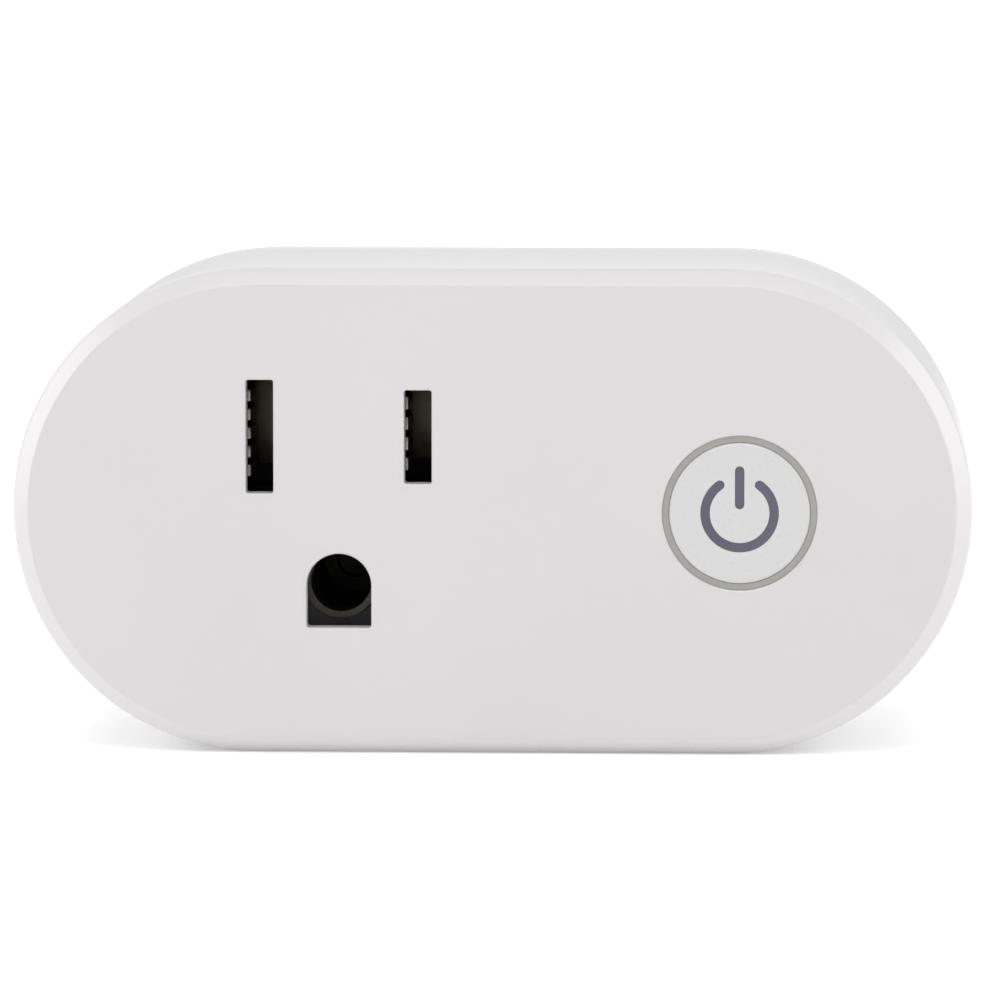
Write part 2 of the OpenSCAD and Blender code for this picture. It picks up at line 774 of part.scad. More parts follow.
module relay_moving_contact() {
    leaf_y = armature_y1 - armature_t - 0.02;
    color("#c98a4a") {
        block([relay_x0 + 2.2, leaf_y - 0.25, relay_z - 2], [contact_x + 1.3, leaf_y, relay_z + 2]);
        bar_y(contact_x, relay_z, leaf_y - 0.1, armature_y1, 1.1);
        bar_y(contact_x, relay_z, leaf_y - 0.5, leaf_y - 0.1, 1.1);
    }
}

module relay_fixed_contact() {
    face_y = armature_y1 + 0.85;
    color("#c98a4a") {
        bar_y(contact_x, relay_z, face_y, face_y + 0.7, 1.1);
        block([contact_x - 1.5, face_y + 0.6, relay_z - 2], [contact_x + 1.4, face_y + 1.2, relay_z + 2]);
        block([contact_x + 0.8, face_y + 0.6, relay_z - 2],
            [contact_x + 1.4, relay_y1 - relay_base_t - 0.05, relay_z + 2]);
    }
}

module relay_pins() {
    color("#b8b9bb") for (p = relay_pin_xz)
        bar_y(p.x, p.y, relay_y1 - relay_base_t, 1.2, 0.4);
}

// Round can capacitor standing on the main board
module can_capacitor(place, r, l, half) {
    translate([place.x, board_y0 - 0.1, place.y]) rotate([90, 0, 0]) difference() {
        cylinder(h = l, r = r);
        translate([0, 0, 1.4]) tube_ring(r, 0.35);
        for (turn = [0, 90]) translate([0, 0, l]) rotate([0, 0, turn + 45])
            cube([1.3 * r, 0.25, 0.3], center = true);
    }
    board_leads([for (side = [-1, 1]) [place.x + side * half, place.y]]);
}

// Groove cutter round a can
module tube_ring(r, depth) {
    difference() {
        cylinder(h = 0.7, r = r + 1);
        translate([0, 0, -1]) cylinder(h = 3, r = r - depth);
    }
}

module input_capacitor() {
    color("#26282c") can_capacitor(input_cap_xz, input_cap_r, input_cap_l, two_lead_parts[0][1]);
}

module output_capacitor() {
    color("#2b3f73") can_capacitor(output_cap_xz, output_cap_r, output_cap_l, two_lead_parts[1][1]);
}

// Box part standing on the main board: size in x, y and z
module box_part(place, size, half) {
    slab(place.x, place.y, size.x, size.z, board_y0 - 0.1 - size.y, board_y0 - 0.1);
    board_leads([for (side = [-1, 1]) [place.x + side * half, place.y]]);
}

module film_capacitor() {
    color("#d6b33a") box_part(film_cap_xz, film_cap_size, two_lead_parts[2][1]);
}

module varistor() {
    up = varistor_r + 1.2;
    color("#2f6fb0") {
        translate([varistor_xz.x, board_y0 - up, varistor_xz.y])
            cylinder(h = varistor_t, r = varistor_r, center = true);
        for (side = [-1, 1])
            bar_y(varistor_xz.x + side * two_lead_parts[3][1], varistor_xz.y,
                board_y0 - up, lead_tail_y, lead_r);
    }
}

module fuse() {
    color("#8a5a3c") box_part(fuse_xz, fuse_size, two_lead_parts[4][1]);
}

// Drum core with a waist for its winding
module inductor_core() {
    y1 = board_y0 - 0.1;
    color("#3a3a3c") {
        bar_y(inductor_xz.x, inductor_xz.y, y1 - inductor_l, y1, inductor_r * 0.5);
        for (y = [y1 - inductor_l, y1 - 1.2]) bar_y(inductor_xz.x, inductor_xz.y, y, y + 1.2, inductor_r);
        board_leads([for (side = [-1, 1]) [inductor_xz.x + side * two_lead_parts[5][1], inductor_xz.y]]);
    }
}

module inductor_coil() {
    y1 = board_y0 - 0.1;
    color("#b4622e") tube_y(inductor_xz.x, inductor_xz.y, y1 - inductor_l + 1.25, y1 - 1.25,
        inductor_r - 0.3, inductor_r * 0.5 + 0.02);
}

// Flat chip with legs along both long sides, lying on a board's front
module flat_chip(x, z, w, h, t, y1, legs) {
    slab(x, z, w, h, y1 - t, y1 - 0.1);
    for (i = [0:legs - 1], side = [-1, 1])
        slab(x - w / 2 + (i + 0.5) * w / legs, z + side * (h / 2 + 0.35), 0.4, 0.8, y1 - 0.75, y1);
}

module bridge_rectifier() {
    color("#202124") flat_chip(bridge_xz.x, bridge_xz.y, 4.7, 3.8, 1.7, board_y0 - 0.02, 2);
}

module power_chip() {
    color("#202124") flat_chip(chip_xz.x, chip_xz.y, 4.0, 3.8, 1.6, board_y0 - 0.02, 4);
}

// Small two-ended chip parts on both boards
module chip_parts() {
    main_xz = [[25.4, 17.2], [28.2, 17.2], [23.0, 17.2], [26.6, 31.0], [12.6, 17.6], [31.4, 14.6]];
    control_xz = [[11.4, 25.2], [11.4, 22.6], [11.4, 17.4]];
    color("#8f8478") {
        for (p = main_xz) slab(p.x, p.y, 2.0, 1.2, board_y0 - 0.62, board_y0 - 0.02);
        for (p = control_xz) slab(p.x, p.y, 1.6, 0.8, control_y1 + 0.02, control_y1 + 0.52);
    }
}

module control_board() {
    color("#2f6b3c") difference() {
        along_y(control_y0, control_y1)
            rounded_rect((control_x0 + control_x1) / 2, (control_z0 + control_z1) / 2,
                control_x1 - control_x0, control_z1 - control_z0, 1);
        for (p = control_post_xz) bar_y(p.x, p.y, control_y0 - 1, control_y1 + 1, 1.0);
        for (p = header_xz) bar_y(p.x, p.y, control_y0 - 1, control_y1 + 1, lead_hole_r);
    }
}

module control_screws() {
    color("#9a9da3") for (p = control_post_xz) mirror([0, 1, 0])
        screw_in(p.x, p.y, -control_y1 - small_head_t - under_head, -control_y0 + 3.4, 0.7);
}

module board_header() {
    color("#1d1d20") {
        slab(header_x0 + header_pitch * (header_pins - 1) / 2, header_z,
            header_pitch * header_pins, 2.0, board_y0 - 2.1, board_y0 - 0.1);
        for (p = header_xz) bar_y(p.x, p.y, control_y0, lead_tail_y, lead_r);
    }
}

module radio_board() {
    color("#1f4f7a") slab(radio_x, radio_z0 + radio_h / 2, radio_w, radio_h, radio_y0, radio_y1);
}

module radio_shield() {
    wall_t = 0.25;
    z = radio_z0 + 5.1;
    color("#c3c5c8") difference() {
        slab(radio_x, z, 10.6, 9.0, radio_y1 + 0.01, radio_y1 + shield_t);
        slab(radio_x, z, 10.6 - 2 * wall_t, 9.0 - 2 * wall_t, radio_y1 - 1, radio_y1 + shield_t - wall_t);
    }
}

// Meandering trace above the shield
module radio_antenna() {
    turns = 5;
    step = 2.0;
    low_z = radio_z0 + 10.6;
    high_z = radio_z0 + 14.2;
    line = 0.5;
    y0 = radio_y1 + 0.01;
    color("#b98d3e") for (i = [0:turns - 1]) {
        x = radio_x - step * (turns - 1) / 2 + i * step;
        block([x - line / 2, y0, low_z], [x + line / 2, y0 + trace_t, high_z]);
        if (i < turns - 1) {
            z = i % 2 == 0 ? high_z : low_z + line;
            block([x - line / 2, y0, z - line], [x + step + line / 2, y0 + trace_t, z]);
        }
    }
}

module switch_base() {
    front = switch_y - switch_base_t;
    color("#232325") difference() {
        slab(button_x, mid_z, switch_w, switch_w, front, switch_y);
        bar_y(button_x, mid_z, front - 1, front + 1.45, 2.5);
    }
}

module switch_cover() {
    front = switch_y - switch_base_t - fit_gap;
    color("#b9bbbe") difference() {
        slab(button_x, mid_z, switch_w, switch_w, front - switch_cover_t, front);
        bar_y(button_x, mid_z, front - 1, front + 1, plunger_r + 0.1);
    }
}

module switch_plunger() {
    flange_y = switch_y - switch_base_t + 0.05;
    color("#d8cfc0") {
        bar_y(button_x, mid_z, plunger_y0, flange_y + 0.3, plunger_r);
        bar_y(button_x, mid_z, flange_y, flange_y + 0.3, 2.2);
    }
}

// Shallow spring dome: a slice of a thin ball
module switch_dome() {
    floor_y = switch_y - switch_base_t + 1.4;
    ball_r = 6.4;
    rise = 0.5;
    color("#c0c2c4") translate([button_x, floor_y + ball_r - rise, mid_z]) rotate([90, 0, 0])
        rotate_extrude() intersection() {
            difference() {
                circle(r = ball_r);
                circle(r = ball_r - 0.12);
            }
            translate([0, ball_r - rise]) square([2.3, rise + 1]);
        }
}

module switch_terminals() {
    color("#c3c5c8") for (sx = [-1, 1], sz = [-1, 1])
        slab(button_x + sx * (switch_w / 2 + 0.6), mid_z + sz * 2.25, 1.1, 0.7, switch_y - 0.6, switch_y);
}

module status_leds() {
    color("#e9e6c8") for (a = led_angles)
        slab(button_x + ring_leg_at_r * cos(a), mid_z + ring_leg_at_r * sin(a), 1.0, 0.6,
            control_y0 - led_h, control_y0 - 0.02);
}

// Insulated lead from the outlet that bends into the main board
module lead_to_board(x0, z) {
    translate([x0, wire_y, z]) rotate([0, 90, 0]) cylinder(h = wire_end_x - x0, r = wire_r);
    translate([wire_end_x, wire_y + wire_bend, z]) rotate([0, 0, -90])
        rotate_extrude(angle = 90) translate([wire_bend, 0]) circle(r = wire_r);
}

module line_lead() {
    color("#1c1c1c") lead_to_board(line_x + blade_t / 2 + fit_gap, line_lead_z);
}

module load_lead() {
    color("#a8322a") lead_to_board(line_x + 2.0 + contact_t + fit_gap, load_lead_z);
}

module neutral_lead() {
    color("#e6e6e2") lead_to_board(neutral_x + 0.85 + contact_t + fit_gap, neutral_lead_z);
}

front_cover();
rear_cover();
cover_screws();
rear_label();
power_button();
power_icon();
button_light_ring();
contact_carrier();
carrier_back();
neutral_contact();
line_contact();
ground_contact();
neutral_blade();
line_blade();
ground_pin();
blade_holder();
holder_screws();
main_board();
board_screws();
insulation_sheet();
relay_base();
relay_case();
relay_bobbin();
relay_coil();
relay_core();
relay_yoke();
relay_armature();
relay_moving_contact();
relay_fixed_contact();
relay_pins();
input_capacitor();
output_capacitor();
film_capacitor();
varistor();
fuse();
inductor_core();
inductor_coil();
bridge_rectifier();
power_chip();
chip_parts();
control_board();
control_screws();
board_header();
radio_board();
radio_shield();
radio_antenna();
switch_base();
switch_cover();
switch_plunger();
switch_dome();
switch_terminals();
status_leds();
line_lead();
load_lead();
neutral_lead();
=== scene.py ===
"""Looks of a smart plug: shells, button, outlet, blades and the electronics inside.

Sizes in the classes are millimetres. X runs to the right, Y towards the wall, Z up.
"""

import logging
import math
from collections.abc import Iterable, Sequence
from dataclasses import dataclass, field
from enum import Enum

import bmesh
import bpy
from mathutils import Matrix, Vector
from mathutils.geometry import delaunay_2d_cdt


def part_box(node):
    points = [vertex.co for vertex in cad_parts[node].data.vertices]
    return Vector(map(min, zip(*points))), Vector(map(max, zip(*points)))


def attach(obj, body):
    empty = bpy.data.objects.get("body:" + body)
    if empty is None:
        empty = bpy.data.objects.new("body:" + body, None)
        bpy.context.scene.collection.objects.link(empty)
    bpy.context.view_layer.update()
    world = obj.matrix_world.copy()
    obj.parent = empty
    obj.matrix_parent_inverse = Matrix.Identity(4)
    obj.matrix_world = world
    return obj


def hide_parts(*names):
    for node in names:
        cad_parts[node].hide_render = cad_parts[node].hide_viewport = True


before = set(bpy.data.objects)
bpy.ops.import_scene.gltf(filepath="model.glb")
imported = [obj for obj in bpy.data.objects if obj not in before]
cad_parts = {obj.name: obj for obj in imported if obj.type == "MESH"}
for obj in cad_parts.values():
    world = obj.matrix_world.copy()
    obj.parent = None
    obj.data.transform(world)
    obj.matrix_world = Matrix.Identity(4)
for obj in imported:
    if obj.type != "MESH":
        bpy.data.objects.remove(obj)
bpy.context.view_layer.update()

log = logging.getLogger("smart_plug")
MM = 0.001
Profile = Sequence[tuple[float, float]]
Colour = tuple[float, float, float]


# ---------------------------------------------------------------- outlines

class Plane(Enum):
    """Plane that an outline is drawn in; the third direction is its depth."""

    FACE = "x and z, depth along y"
    SIDE = "y and z, depth along x"
    TOP = "x and y, depth along z"

    def place(self, u: float, v: float, depth: float) -> Vector:
        """Turns a point of the outline and its depth into a place in metres."""
        spot = {Plane.FACE: (u, depth, v), Plane.SIDE: (depth, u, v), Plane.TOP: (u, v, depth)}[self]
        return Vector(spot) * MM


@dataclass(frozen=True)
class Arc:
    """Arc of an outline, counter-clockwise where it bulges out (bend 1) and clockwise where it bends in."""

    u: float
    v: float
    radius: float
    start: float
    sweep: float
    steps: int = 8
    bend: int = 1

    def points(self, grow: float, closed: bool = False) -> list[tuple[float, float]]:
        """Gives the arc's points after the outline has grown.

        Args:
            grow: How far the outline moves outwards.
            closed: Whether the last point falls on the first and is left out.

        Returns:
            The points in order.
        """
        reach = self.radius + grow * self.bend
        count = self.steps if closed else self.steps + 1
        angles = [math.radians(self.start + self.sweep * i / max(self.steps, 1)) for i in range(count)]
        return [(self.u + reach * math.cos(a), self.v + reach * math.sin(a)) for a in angles]


@dataclass(frozen=True)
class Outline:
    """Closed flat outline made of arcs joined by straight lines."""

    arcs: tuple[Arc, ...]

    def points(self, grow: float = 0.0) -> list[tuple[float, float]]:
        """Gives the outline's points, moved outwards by grow."""
        if len(self.arcs) == 1:
            return self.arcs[0].points(grow, closed=True)
        return [p for arc in self.arcs for p in arc.points(grow)]


def circle(u: float, v: float, radius: float = 0.0, steps: int = 64) -> Outline:
    """Full circle; with radius 0 its growth is the radius itself."""
    return Outline((Arc(u, v, radius, 0, 360, steps),))


def obround(width: float, height: float, u: float, v: float, steps: int = 72) -> Outline:
    """Two half circles joined by straight lines."""
    half, run = height / 2, (width - height) / 2
    return Outline((Arc(u + run, v, half, -90, 180, steps), Arc(u - run, v, half, 90, 180, steps)))


def rounded_rect(u: float, v: float, width: float, height: float, corner: float, steps: int = 6) -> Outline:
    """Rectangle about a middle point with equal round corners."""
    du, dv = width / 2 - corner, height / 2 - corner
    corners = ((du, -dv, -90), (du, dv, 0), (-du, dv, 90), (-du, -dv, 180))
    return Outline(tuple(Arc(u + a, v + b, corner, turn, 90, steps) for a, b, turn in corners))


def dee(u: float, v: float, radius: float, flat: float, corner: float = 0.25) -> Outline:
    """Round top and flat lower edge, flat below the middle by the given drop."""
    du, low = radius - corner, v - flat + corner
    return Outline((Arc(u + du, low, corner, -90, 90, 5), Arc(u, v, radius, 0, 180, 40),
                    Arc(u - du, low, corner, 180, 90, 5)))


def open_ring(u: float, v: float, radius: float, half_line: float, half_gap: float) -> Outline:
    """Ring of a power symbol, open at its top, with round ends."""
    first, last = 90 + half_gap, 450 - half_gap
    ends = [(u + radius * math.cos(math.radians(angle)), v + radius * math.sin(math.radians(angle)))
            for angle in (last, first)]
    return Outline((
        Arc(u, v, radius + half_line, first, last - first, 72),
        Arc(ends[0][0], ends[0][1], half_line, last, 180, 10),
        Arc(u, v, radius - half_line, last, first - last, 72, bend=-1),
        Arc(ends[1][0], ends[1][1], half_line, first + 180, 180, 10)))


def upright_bar(u: float, low: float, high: float, half_line: float) -> Outline:
    """Upright bar with round ends between the centres low and high."""
    return Outline((Arc(u, low, half_line, 180, 180, 12), Arc(u, high, half_line, 0, 180, 12)))


def strip(path: Sequence[tuple[float, float]], thick: float, side: int) -> Outline:
    """Outline of a bent strip.

    Args:
        path: Points of the strip's inner side.
        thick: Thickness along the first direction.
        side: 1 where the strip lies on the far side of its path, -1 where it is mirrored.

    Returns:
        The outline with sharp corners.
    """
    far = [(u + side * thick, v) for u, v in path]
    corners = [Vector(p) for p in (far + list(path)[::-1])]
    if side < 0:
        corners.reverse()
    if sum(a.x * b.y - b.x * a.y for a, b in zip(corners, corners[1:] + corners[:1])) < 0:
        corners.reverse()
    arcs = []
    for before, here, after in zip(corners[-1:] + corners[:-1], corners, corners[1:] + corners[:1]):
        run = (here - before).normalized() + (after - here).normalized()
        arcs.append(Arc(here.x, here.y, 0.0, math.degrees(math.atan2(-run.x, run.y)), 0.0, 0))
    return Outline(tuple(arcs))


def rounding(radius: float, face: float, into: int, steps: int = 6, hole: bool = False,
             collar: float = 0.3) -> list[tuple[float, float]]:
    """Profile of a rounded edge, from the flat face round to the wall.

    Args:
        radius: Radius of the edge.
        face: Depth of the flat face.
        into: Direction of the depth into the material, 1 or -1.
        steps: Steps round the edge.
        hole: Whether the edge belongs to a hole rather than to the rim.
        collar: Width of the flat band kept beside the edge.

    Returns:
        Pairs of growth and depth, starting on the face.
    """
    side = 1 if hole else -1
    pairs = [(side * (radius + collar), face)]
    for i in range(steps + 1):
        angle = math.pi / 2 * i / steps
        pairs.append((side * radius * (1 - math.sin(angle)), face + into * radius * (1 - math.cos(angle))))
    return pairs


def crossings(spot: Vector, sides: Iterable[tuple[Vector, Vector]]) -> int:
    """Counts the sides that a line from the spot to the right crosses; an odd count is inside."""
    return sum((a.y > spot.y) != (b.y > spot.y) and spot.x < a.x + (spot.y - a.y) * (b.x - a.x) / (b.y - a.y)
               for a, b in sides)


def eased(path: Profile, radii: dict[int, float], steps: int = 6) -> list[tuple[float, float]]:
    """Rounds some corners of a profile.

    Args:
        path: Points of the profile.
        radii: Radius at each rounded point, by its place in the path.
        steps: Steps round a corner.

    Returns:
        The profile with arcs in place of those points.
    """
    out: list[tuple[float, float]] = []
    for i, spot in enumerate(path):
        if i not in radii:
            out.append(spot)
            continue
        here = Vector(spot)
        back, ahead = (Vector(path[i - 1]) - here).normalized(), (Vector(path[i + 1]) - here).normalized()
        half = back.angle(ahead) / 2
        centre = here + (back + ahead).normalized() * radii[i] / math.sin(half)
        start = here + back * radii[i] / math.tan(half) - centre
        end = here + ahead * radii[i] / math.tan(half) - centre
        out += [tuple(centre + start.slerp(end, k / steps).normalized() * radii[i]) for k in range(steps + 1)]
    return out


# ---------------------------------------------------------------- meshes

class Shell:
    """Closed mesh grown from outlines, one profile at a time."""

    def __init__(self, plane: Plane = Plane.FACE) -> None:
        """Starts an empty mesh in a plane."""
        self.plane = plane
        self.mesh = bmesh.new()

    def loop(self, outline: Outline, grow: float, depth: float) -> list[bmesh.types.BMVert]:
        """Adds one ring of points and gives it back."""
        return [self.mesh.verts.new(self.plane.place(u, v, depth)) for u, v in outline.points(grow)]

    def bridge(self, one: Sequence[bmesh.types.BMVert], two: Sequence[bmesh.types.BMVert]) -> None:
        """Joins two rings of equal length with quads."""
        count = len(one)
        for i in range(count):
            j = (i + 1) % count
            self.mesh.faces.new((one[i], one[j], two[j], two[i]))

    def sweep(self, outline: Outline, profile: Profile) -> tuple[list, list]:
        """Carries an outline along a profile of growth and depth.

        Args:
            outline: The outline.
            profile: Pairs of growth and depth.

        Returns:
            The first and the last ring.
        """
        rings = [self.loop(outline, grow, depth) for grow, depth in profile]
        for one, two in zip(rings, rings[1:]):
            self.bridge(one, two)
        return rings[0], rings[-1]

    def cap(self, *rings: Sequence[bmesh.types.BMVert]) -> None:
        """Fills the flat area inside the first ring and outside the others."""
        corners = [vert for ring in rings for vert in ring]
        flat, edges, start = [], [], 0
        for vert in corners:
            x, y, z = vert.co / MM
            flat.append(Vector({Plane.FACE: (x, z), Plane.SIDE: (y, z), Plane.TOP: (x, y)}[self.plane]))
        for ring in rings:
            edges += [(start + i, start + (i + 1) % len(ring)) for i in range(len(ring))]
            start += len(ring)
        spots, _, faces, sources, _, _ = delaunay_2d_cdt(flat, edges, [], 1, 1e-7)
        sides = [(flat[a], flat[b]) for a, b in edges]
        for face in faces:
            middle = sum((spots[i] for i in face), Vector((0.0, 0.0))) / len(face)
            if crossings(middle, sides) % 2:
                self.mesh.faces.new([corners[sources[i][0]] for i in face])

    def solid(self, outline: Outline, profile: Profile) -> None:
        """Adds a closed body: a swept outline with both ends capped."""
        first, last = self.sweep(outline, profile)
        self.cap(first)
        self.cap(last)

    def lathe(self, u: float, v: float, profile: Profile, steps: int = 64) -> None:
        """Adds a turned body about the depth; the profile gives radius and depth."""
        self.solid(circle(u, v, 0.0, steps), profile)

    def turned_ring(self, u: float, v: float, profile: Profile, steps: int = 96) -> None:
        """Adds a turned body with an open middle, whose profile closes on itself."""
        outline = circle(u, v, 0.0, steps)
        rings = [self.loop(outline, grow, depth) for grow, depth in profile]
        for one, two in zip(rings, rings[1:] + rings[:1]):
            self.bridge(one, two)

    def block(self, low: Sequence[float], high: Sequence[float], edge: float = 0.12) -> None:
        """Adds a box between two corners, with rounded edges in the outline's plane."""
        axes = {Plane.FACE: (0, 2, 1), Plane.SIDE: (1, 2, 0), Plane.TOP: (0, 1, 2)}[self.plane]
        (u0, v0, d0), (u1, v1, d1) = [[corner[i] for i in axes] for corner in (low, high)]
        shape = rounded_rect((u0 + u1) / 2, (v0 + v1) / 2, u1 - u0, v1 - v0, edge * 2.1, 4)
        self.solid(shape, soft_ends(d0, d1, edge))

    def piece(self, name: str, material: bpy.types.Material | None, crease: float = 32.0) -> bpy.types.Object:
        """Finishes the mesh and makes it an object.

        Args:
            name: Name of the piece.
            material: Material of the whole piece.
            crease: Angle in degrees above which an edge stays sharp.

        Returns:
            The new object, linked to the scene.
        """
        bmesh.ops.remove_doubles(self.mesh, verts=self.mesh.verts, dist=2e-8)
        bmesh.ops.recalc_face_normals(self.mesh, faces=self.mesh.faces)
        self.mesh.normal_update()
        limit = math.radians(crease)
        for face in self.mesh.faces:
            face.smooth = True
        for edge in self.mesh.edges:
            edge.smooth = len(edge.link_faces) == 2 and edge.calc_face_angle(0.0) < limit
        data = bpy.data.meshes.new(name)
        self.mesh.to_mesh(data)
        self.mesh.free()
        if material:
            data.materials.append(material)
        thing = bpy.data.objects.new(name, data)
        bpy.context.scene.collection.objects.link(thing)
        return thing


def soft_ends(low: float, high: float, edge: float, steps: int = 3) -> list[tuple[float, float]]:
    """Profile from one flat end to the other with both ends rounded."""
    collar = min(0.1, edge)
    first = rounding(edge, low, 1, steps, collar=collar)
    last = rounding(edge, high, -1, steps, collar=collar)
    return first + last[::-1]


@dataclass(frozen=True)
class Span:
    """Box of a CAD node, in millimetres."""

    low: Vector
    high: Vector

    @classmethod
    def of(cls, node: str) -> "Span":
        """Reads the box of a node."""
        low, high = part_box(node)
        return cls(low / MM, high / MM)

    @property
    def mid(self) -> Vector:
        """Middle of the box."""
        return (self.low + self.high) / 2

    @property
    def size(self) -> Vector:
        """Lengths of the box's sides."""
        return self.high - self.low


# ---------------------------------------------------------------- finishes

class Pattern(Enum):
    """Ways in which a finish varies over a surface."""

    MOULDED = "fine even grain"
    BRUSHED = "long thin scratches"
    CAST = "coarse mottled skin"
    PRINTED = "board with copper tracks under a lacquer"
    WOUND = "bands of a winding or a sleeve"


@dataclass(frozen=True)
class Finish:
    """Procedural finish; lengths are metres."""

    name: str
    colour: Colour
    second: Colour
    rough: float
    rough_spread: float = 0.06
    metal: float = 0.0
    pattern: Pattern = Pattern.MOULDED
    patch: float = 0.008
    grain: float = 0.00025
    relief: float = 0.000006
    stretch: tuple[float, float, float] = (1.0, 1.0, 1.0)
    glow_through: float = 0.0
    clear: float = 0.0
    coat: float = 0.0
    ior: float = 1.5

    def build(self) -> bpy.types.Material:
        """Makes the material with its nodes."""
        material = bpy.data.materials.new(self.name)
        material.use_nodes = True
        graph = Graph(material.node_tree)
        shader = graph.shader
        for socket, value in (("Metallic", self.metal), ("Transmission Weight", self.clear),
                              ("Subsurface Weight", self.glow_through), ("Coat Weight", self.coat),
                              ("IOR", self.ior)):
            shader.inputs[socket].default_value = value
        if self.glow_through:
            shader.inputs["Subsurface Scale"].default_value = 0.001
        spot = graph.place(self.stretch)
        broad = graph.noise(spot, 1 / self.patch, 3.0)
        mask, height = self._figure(graph, spot)
        tone = graph.ranged(mask or broad, 0.35, 0.65, 0.0, 1.0)
        graph.link(graph.blend(tone, self.colour, self.second), shader.inputs["Base Color"])
        spread = self.rough_spread
        gloss = graph.ranged(height, 0.3, 0.7, self.rough - spread, self.rough + spread)
        graph.link(gloss, shader.inputs["Roughness"])
        graph.link(graph.bump(height, self.relief), shader.inputs["Normal"])
        return material

    def _figure(self, graph: "Graph", spot: bpy.types.NodeSocket) -> tuple:
        """Makes the fine figure of the finish.

        Args:
            graph: The material's nodes.
            spot: Place on the surface.

        Returns:
            A mask for the second colour, or None, and the height for gloss and relief.
        """
        fine = graph.noise(spot, 1 / self.grain, 2.0)
        if self.pattern is Pattern.CAST:
            return None, graph.cells(spot, 1 / self.grain, "F1")
        if self.pattern is Pattern.PRINTED:
            tracks = graph.ranged(graph.cells(spot, 1 / self.patch, "DISTANCE_TO_EDGE"), 0.04, 0.07, 1.0, 0.0)
            return tracks, graph.blend_values(0.5, fine, tracks)
        if self.pattern is Pattern.WOUND:
            bands = graph.bands(spot, 1 / self.grain)
            return bands, bands
        return None, fine


class Graph:
    """Node tree of one material, with short ways to add what the finishes use."""

    def __init__(self, tree: bpy.types.NodeTree) -> None:
        """Takes a new material's tree."""
        self.tree = tree
        self.shader = tree.nodes["Principled BSDF"]

    def link(self, source: bpy.types.NodeSocket, target: bpy.types.NodeSocket) -> None:
        """Joins two sockets."""
        self.tree.links.new(source, target)

    def place(self, stretch: tuple[float, float, float]) -> bpy.types.NodeSocket:
        """Gives the place on the object, stretched along its axes."""
        coordinates = self.tree.nodes.new("ShaderNodeTexCoord")
        mapping = self.tree.nodes.new("ShaderNodeMapping")
        mapping.inputs["Scale"].default_value = stretch
        self.link(coordinates.outputs["Object"], mapping.inputs["Vector"])
        return mapping.outputs["Vector"]

    def reach(self) -> bpy.types.NodeSocket:
        """Gives the distance from the object's origin."""
        coordinates = self.tree.nodes.new("ShaderNodeTexCoord")
        length = self.tree.nodes.new("ShaderNodeVectorMath")
        length.operation = "LENGTH"
        self.link(coordinates.outputs["Object"], length.inputs[0])
        return length.outputs["Value"]

    def noise(self, spot: bpy.types.NodeSocket, scale: float, detail: float) -> bpy.types.NodeSocket:
        """Adds a noise with features of about 1 / scale metres."""
        node = self.tree.nodes.new("ShaderNodeTexNoise")
        node.inputs["Scale"].default_value = scale
        node.inputs["Detail"].default_value = detail
        self.link(spot, node.inputs["Vector"])
        return node.outputs["Fac"]

    def cells(self, spot: bpy.types.NodeSocket, scale: float, feature: str) -> bpy.types.NodeSocket:
        """Adds a cell pattern and gives the named distance."""
        node = self.tree.nodes.new("ShaderNodeTexVoronoi")
        node.feature = feature
        node.inputs["Scale"].default_value = scale
        self.link(spot, node.inputs["Vector"])
        return node.outputs["Distance"]

    def bands(self, spot: bpy.types.NodeSocket, scale: float) -> bpy.types.NodeSocket:
        """Adds bands across the depth, one every 1 / scale metres."""
        node = self.tree.nodes.new("ShaderNodeTexWave")
        node.bands_direction = "Y"
        node.inputs["Scale"].default_value = scale * 0.314
        node.inputs["Distortion"].default_value = 0.4
        self.link(spot, node.inputs["Vector"])
        return node.outputs["Fac"]

    def ranged(self, value: bpy.types.NodeSocket, low: float, high: float, to_low: float,
               to_high: float) -> bpy.types.NodeSocket:
        """Maps a value from one range to another."""
        node = self.tree.nodes.new("ShaderNodeMapRange")
        for socket, number in zip(("From Min", "From Max", "To Min", "To Max"), (low, high, to_low, to_high)):
            node.inputs[socket].default_value = number
        self.link(value, node.inputs["Value"])
        return node.outputs["Result"]

    def blend(self, factor: bpy.types.NodeSocket, one: Colour, two: Colour) -> bpy.types.NodeSocket:
        """Mixes two colours."""
        node = self.tree.nodes.new("ShaderNodeMix")
        node.data_type = "RGBA"
        node.inputs[6].default_value = (*one, 1.0)
        node.inputs[7].default_value = (*two, 1.0)
        self.link(factor, node.inputs[0])
        return node.outputs[2]

    def blend_values(self, share: float, one: bpy.types.NodeSocket, two: bpy.types.NodeSocket
                     ) -> bpy.types.NodeSocket:
        """Mixes two values by a fixed share."""
        node = self.tree.nodes.new("ShaderNodeMix")
        node.inputs[0].default_value = share
        self.link(one, node.inputs[2])
        self.link(two, node.inputs[3])
        return node.outputs[0]

    def bump(self, height: bpy.types.NodeSocket, distance: float) -> bpy.types.NodeSocket:
        """Turns a height into a relief of the given depth."""
        node = self.tree.nodes.new("ShaderNodeBump")
        node.inputs["Strength"].default_value = 1.0
        node.inputs["Distance"].default_value = distance
        self.link(height, node.inputs["Height"])
        return node.outputs["Normal"]


def tint(code: str) -> Colour:
    """Turns a screen colour such as "c9a24b" into the shader's linear colour."""
    parts = [int(code[i:i + 2], 16) / 255 for i in (0, 2, 4)]
    return tuple(p / 12.92 if p <= 0.04045 else ((p + 0.055) / 1.055) ** 2.4 for p in parts)


def plastic(name: str, colour: str, second: str, rough: float = 0.42, **more: object) -> Finish:
    """Moulded plastic in two near colours."""
    return Finish(name, tint(colour), tint(second), rough, **more)


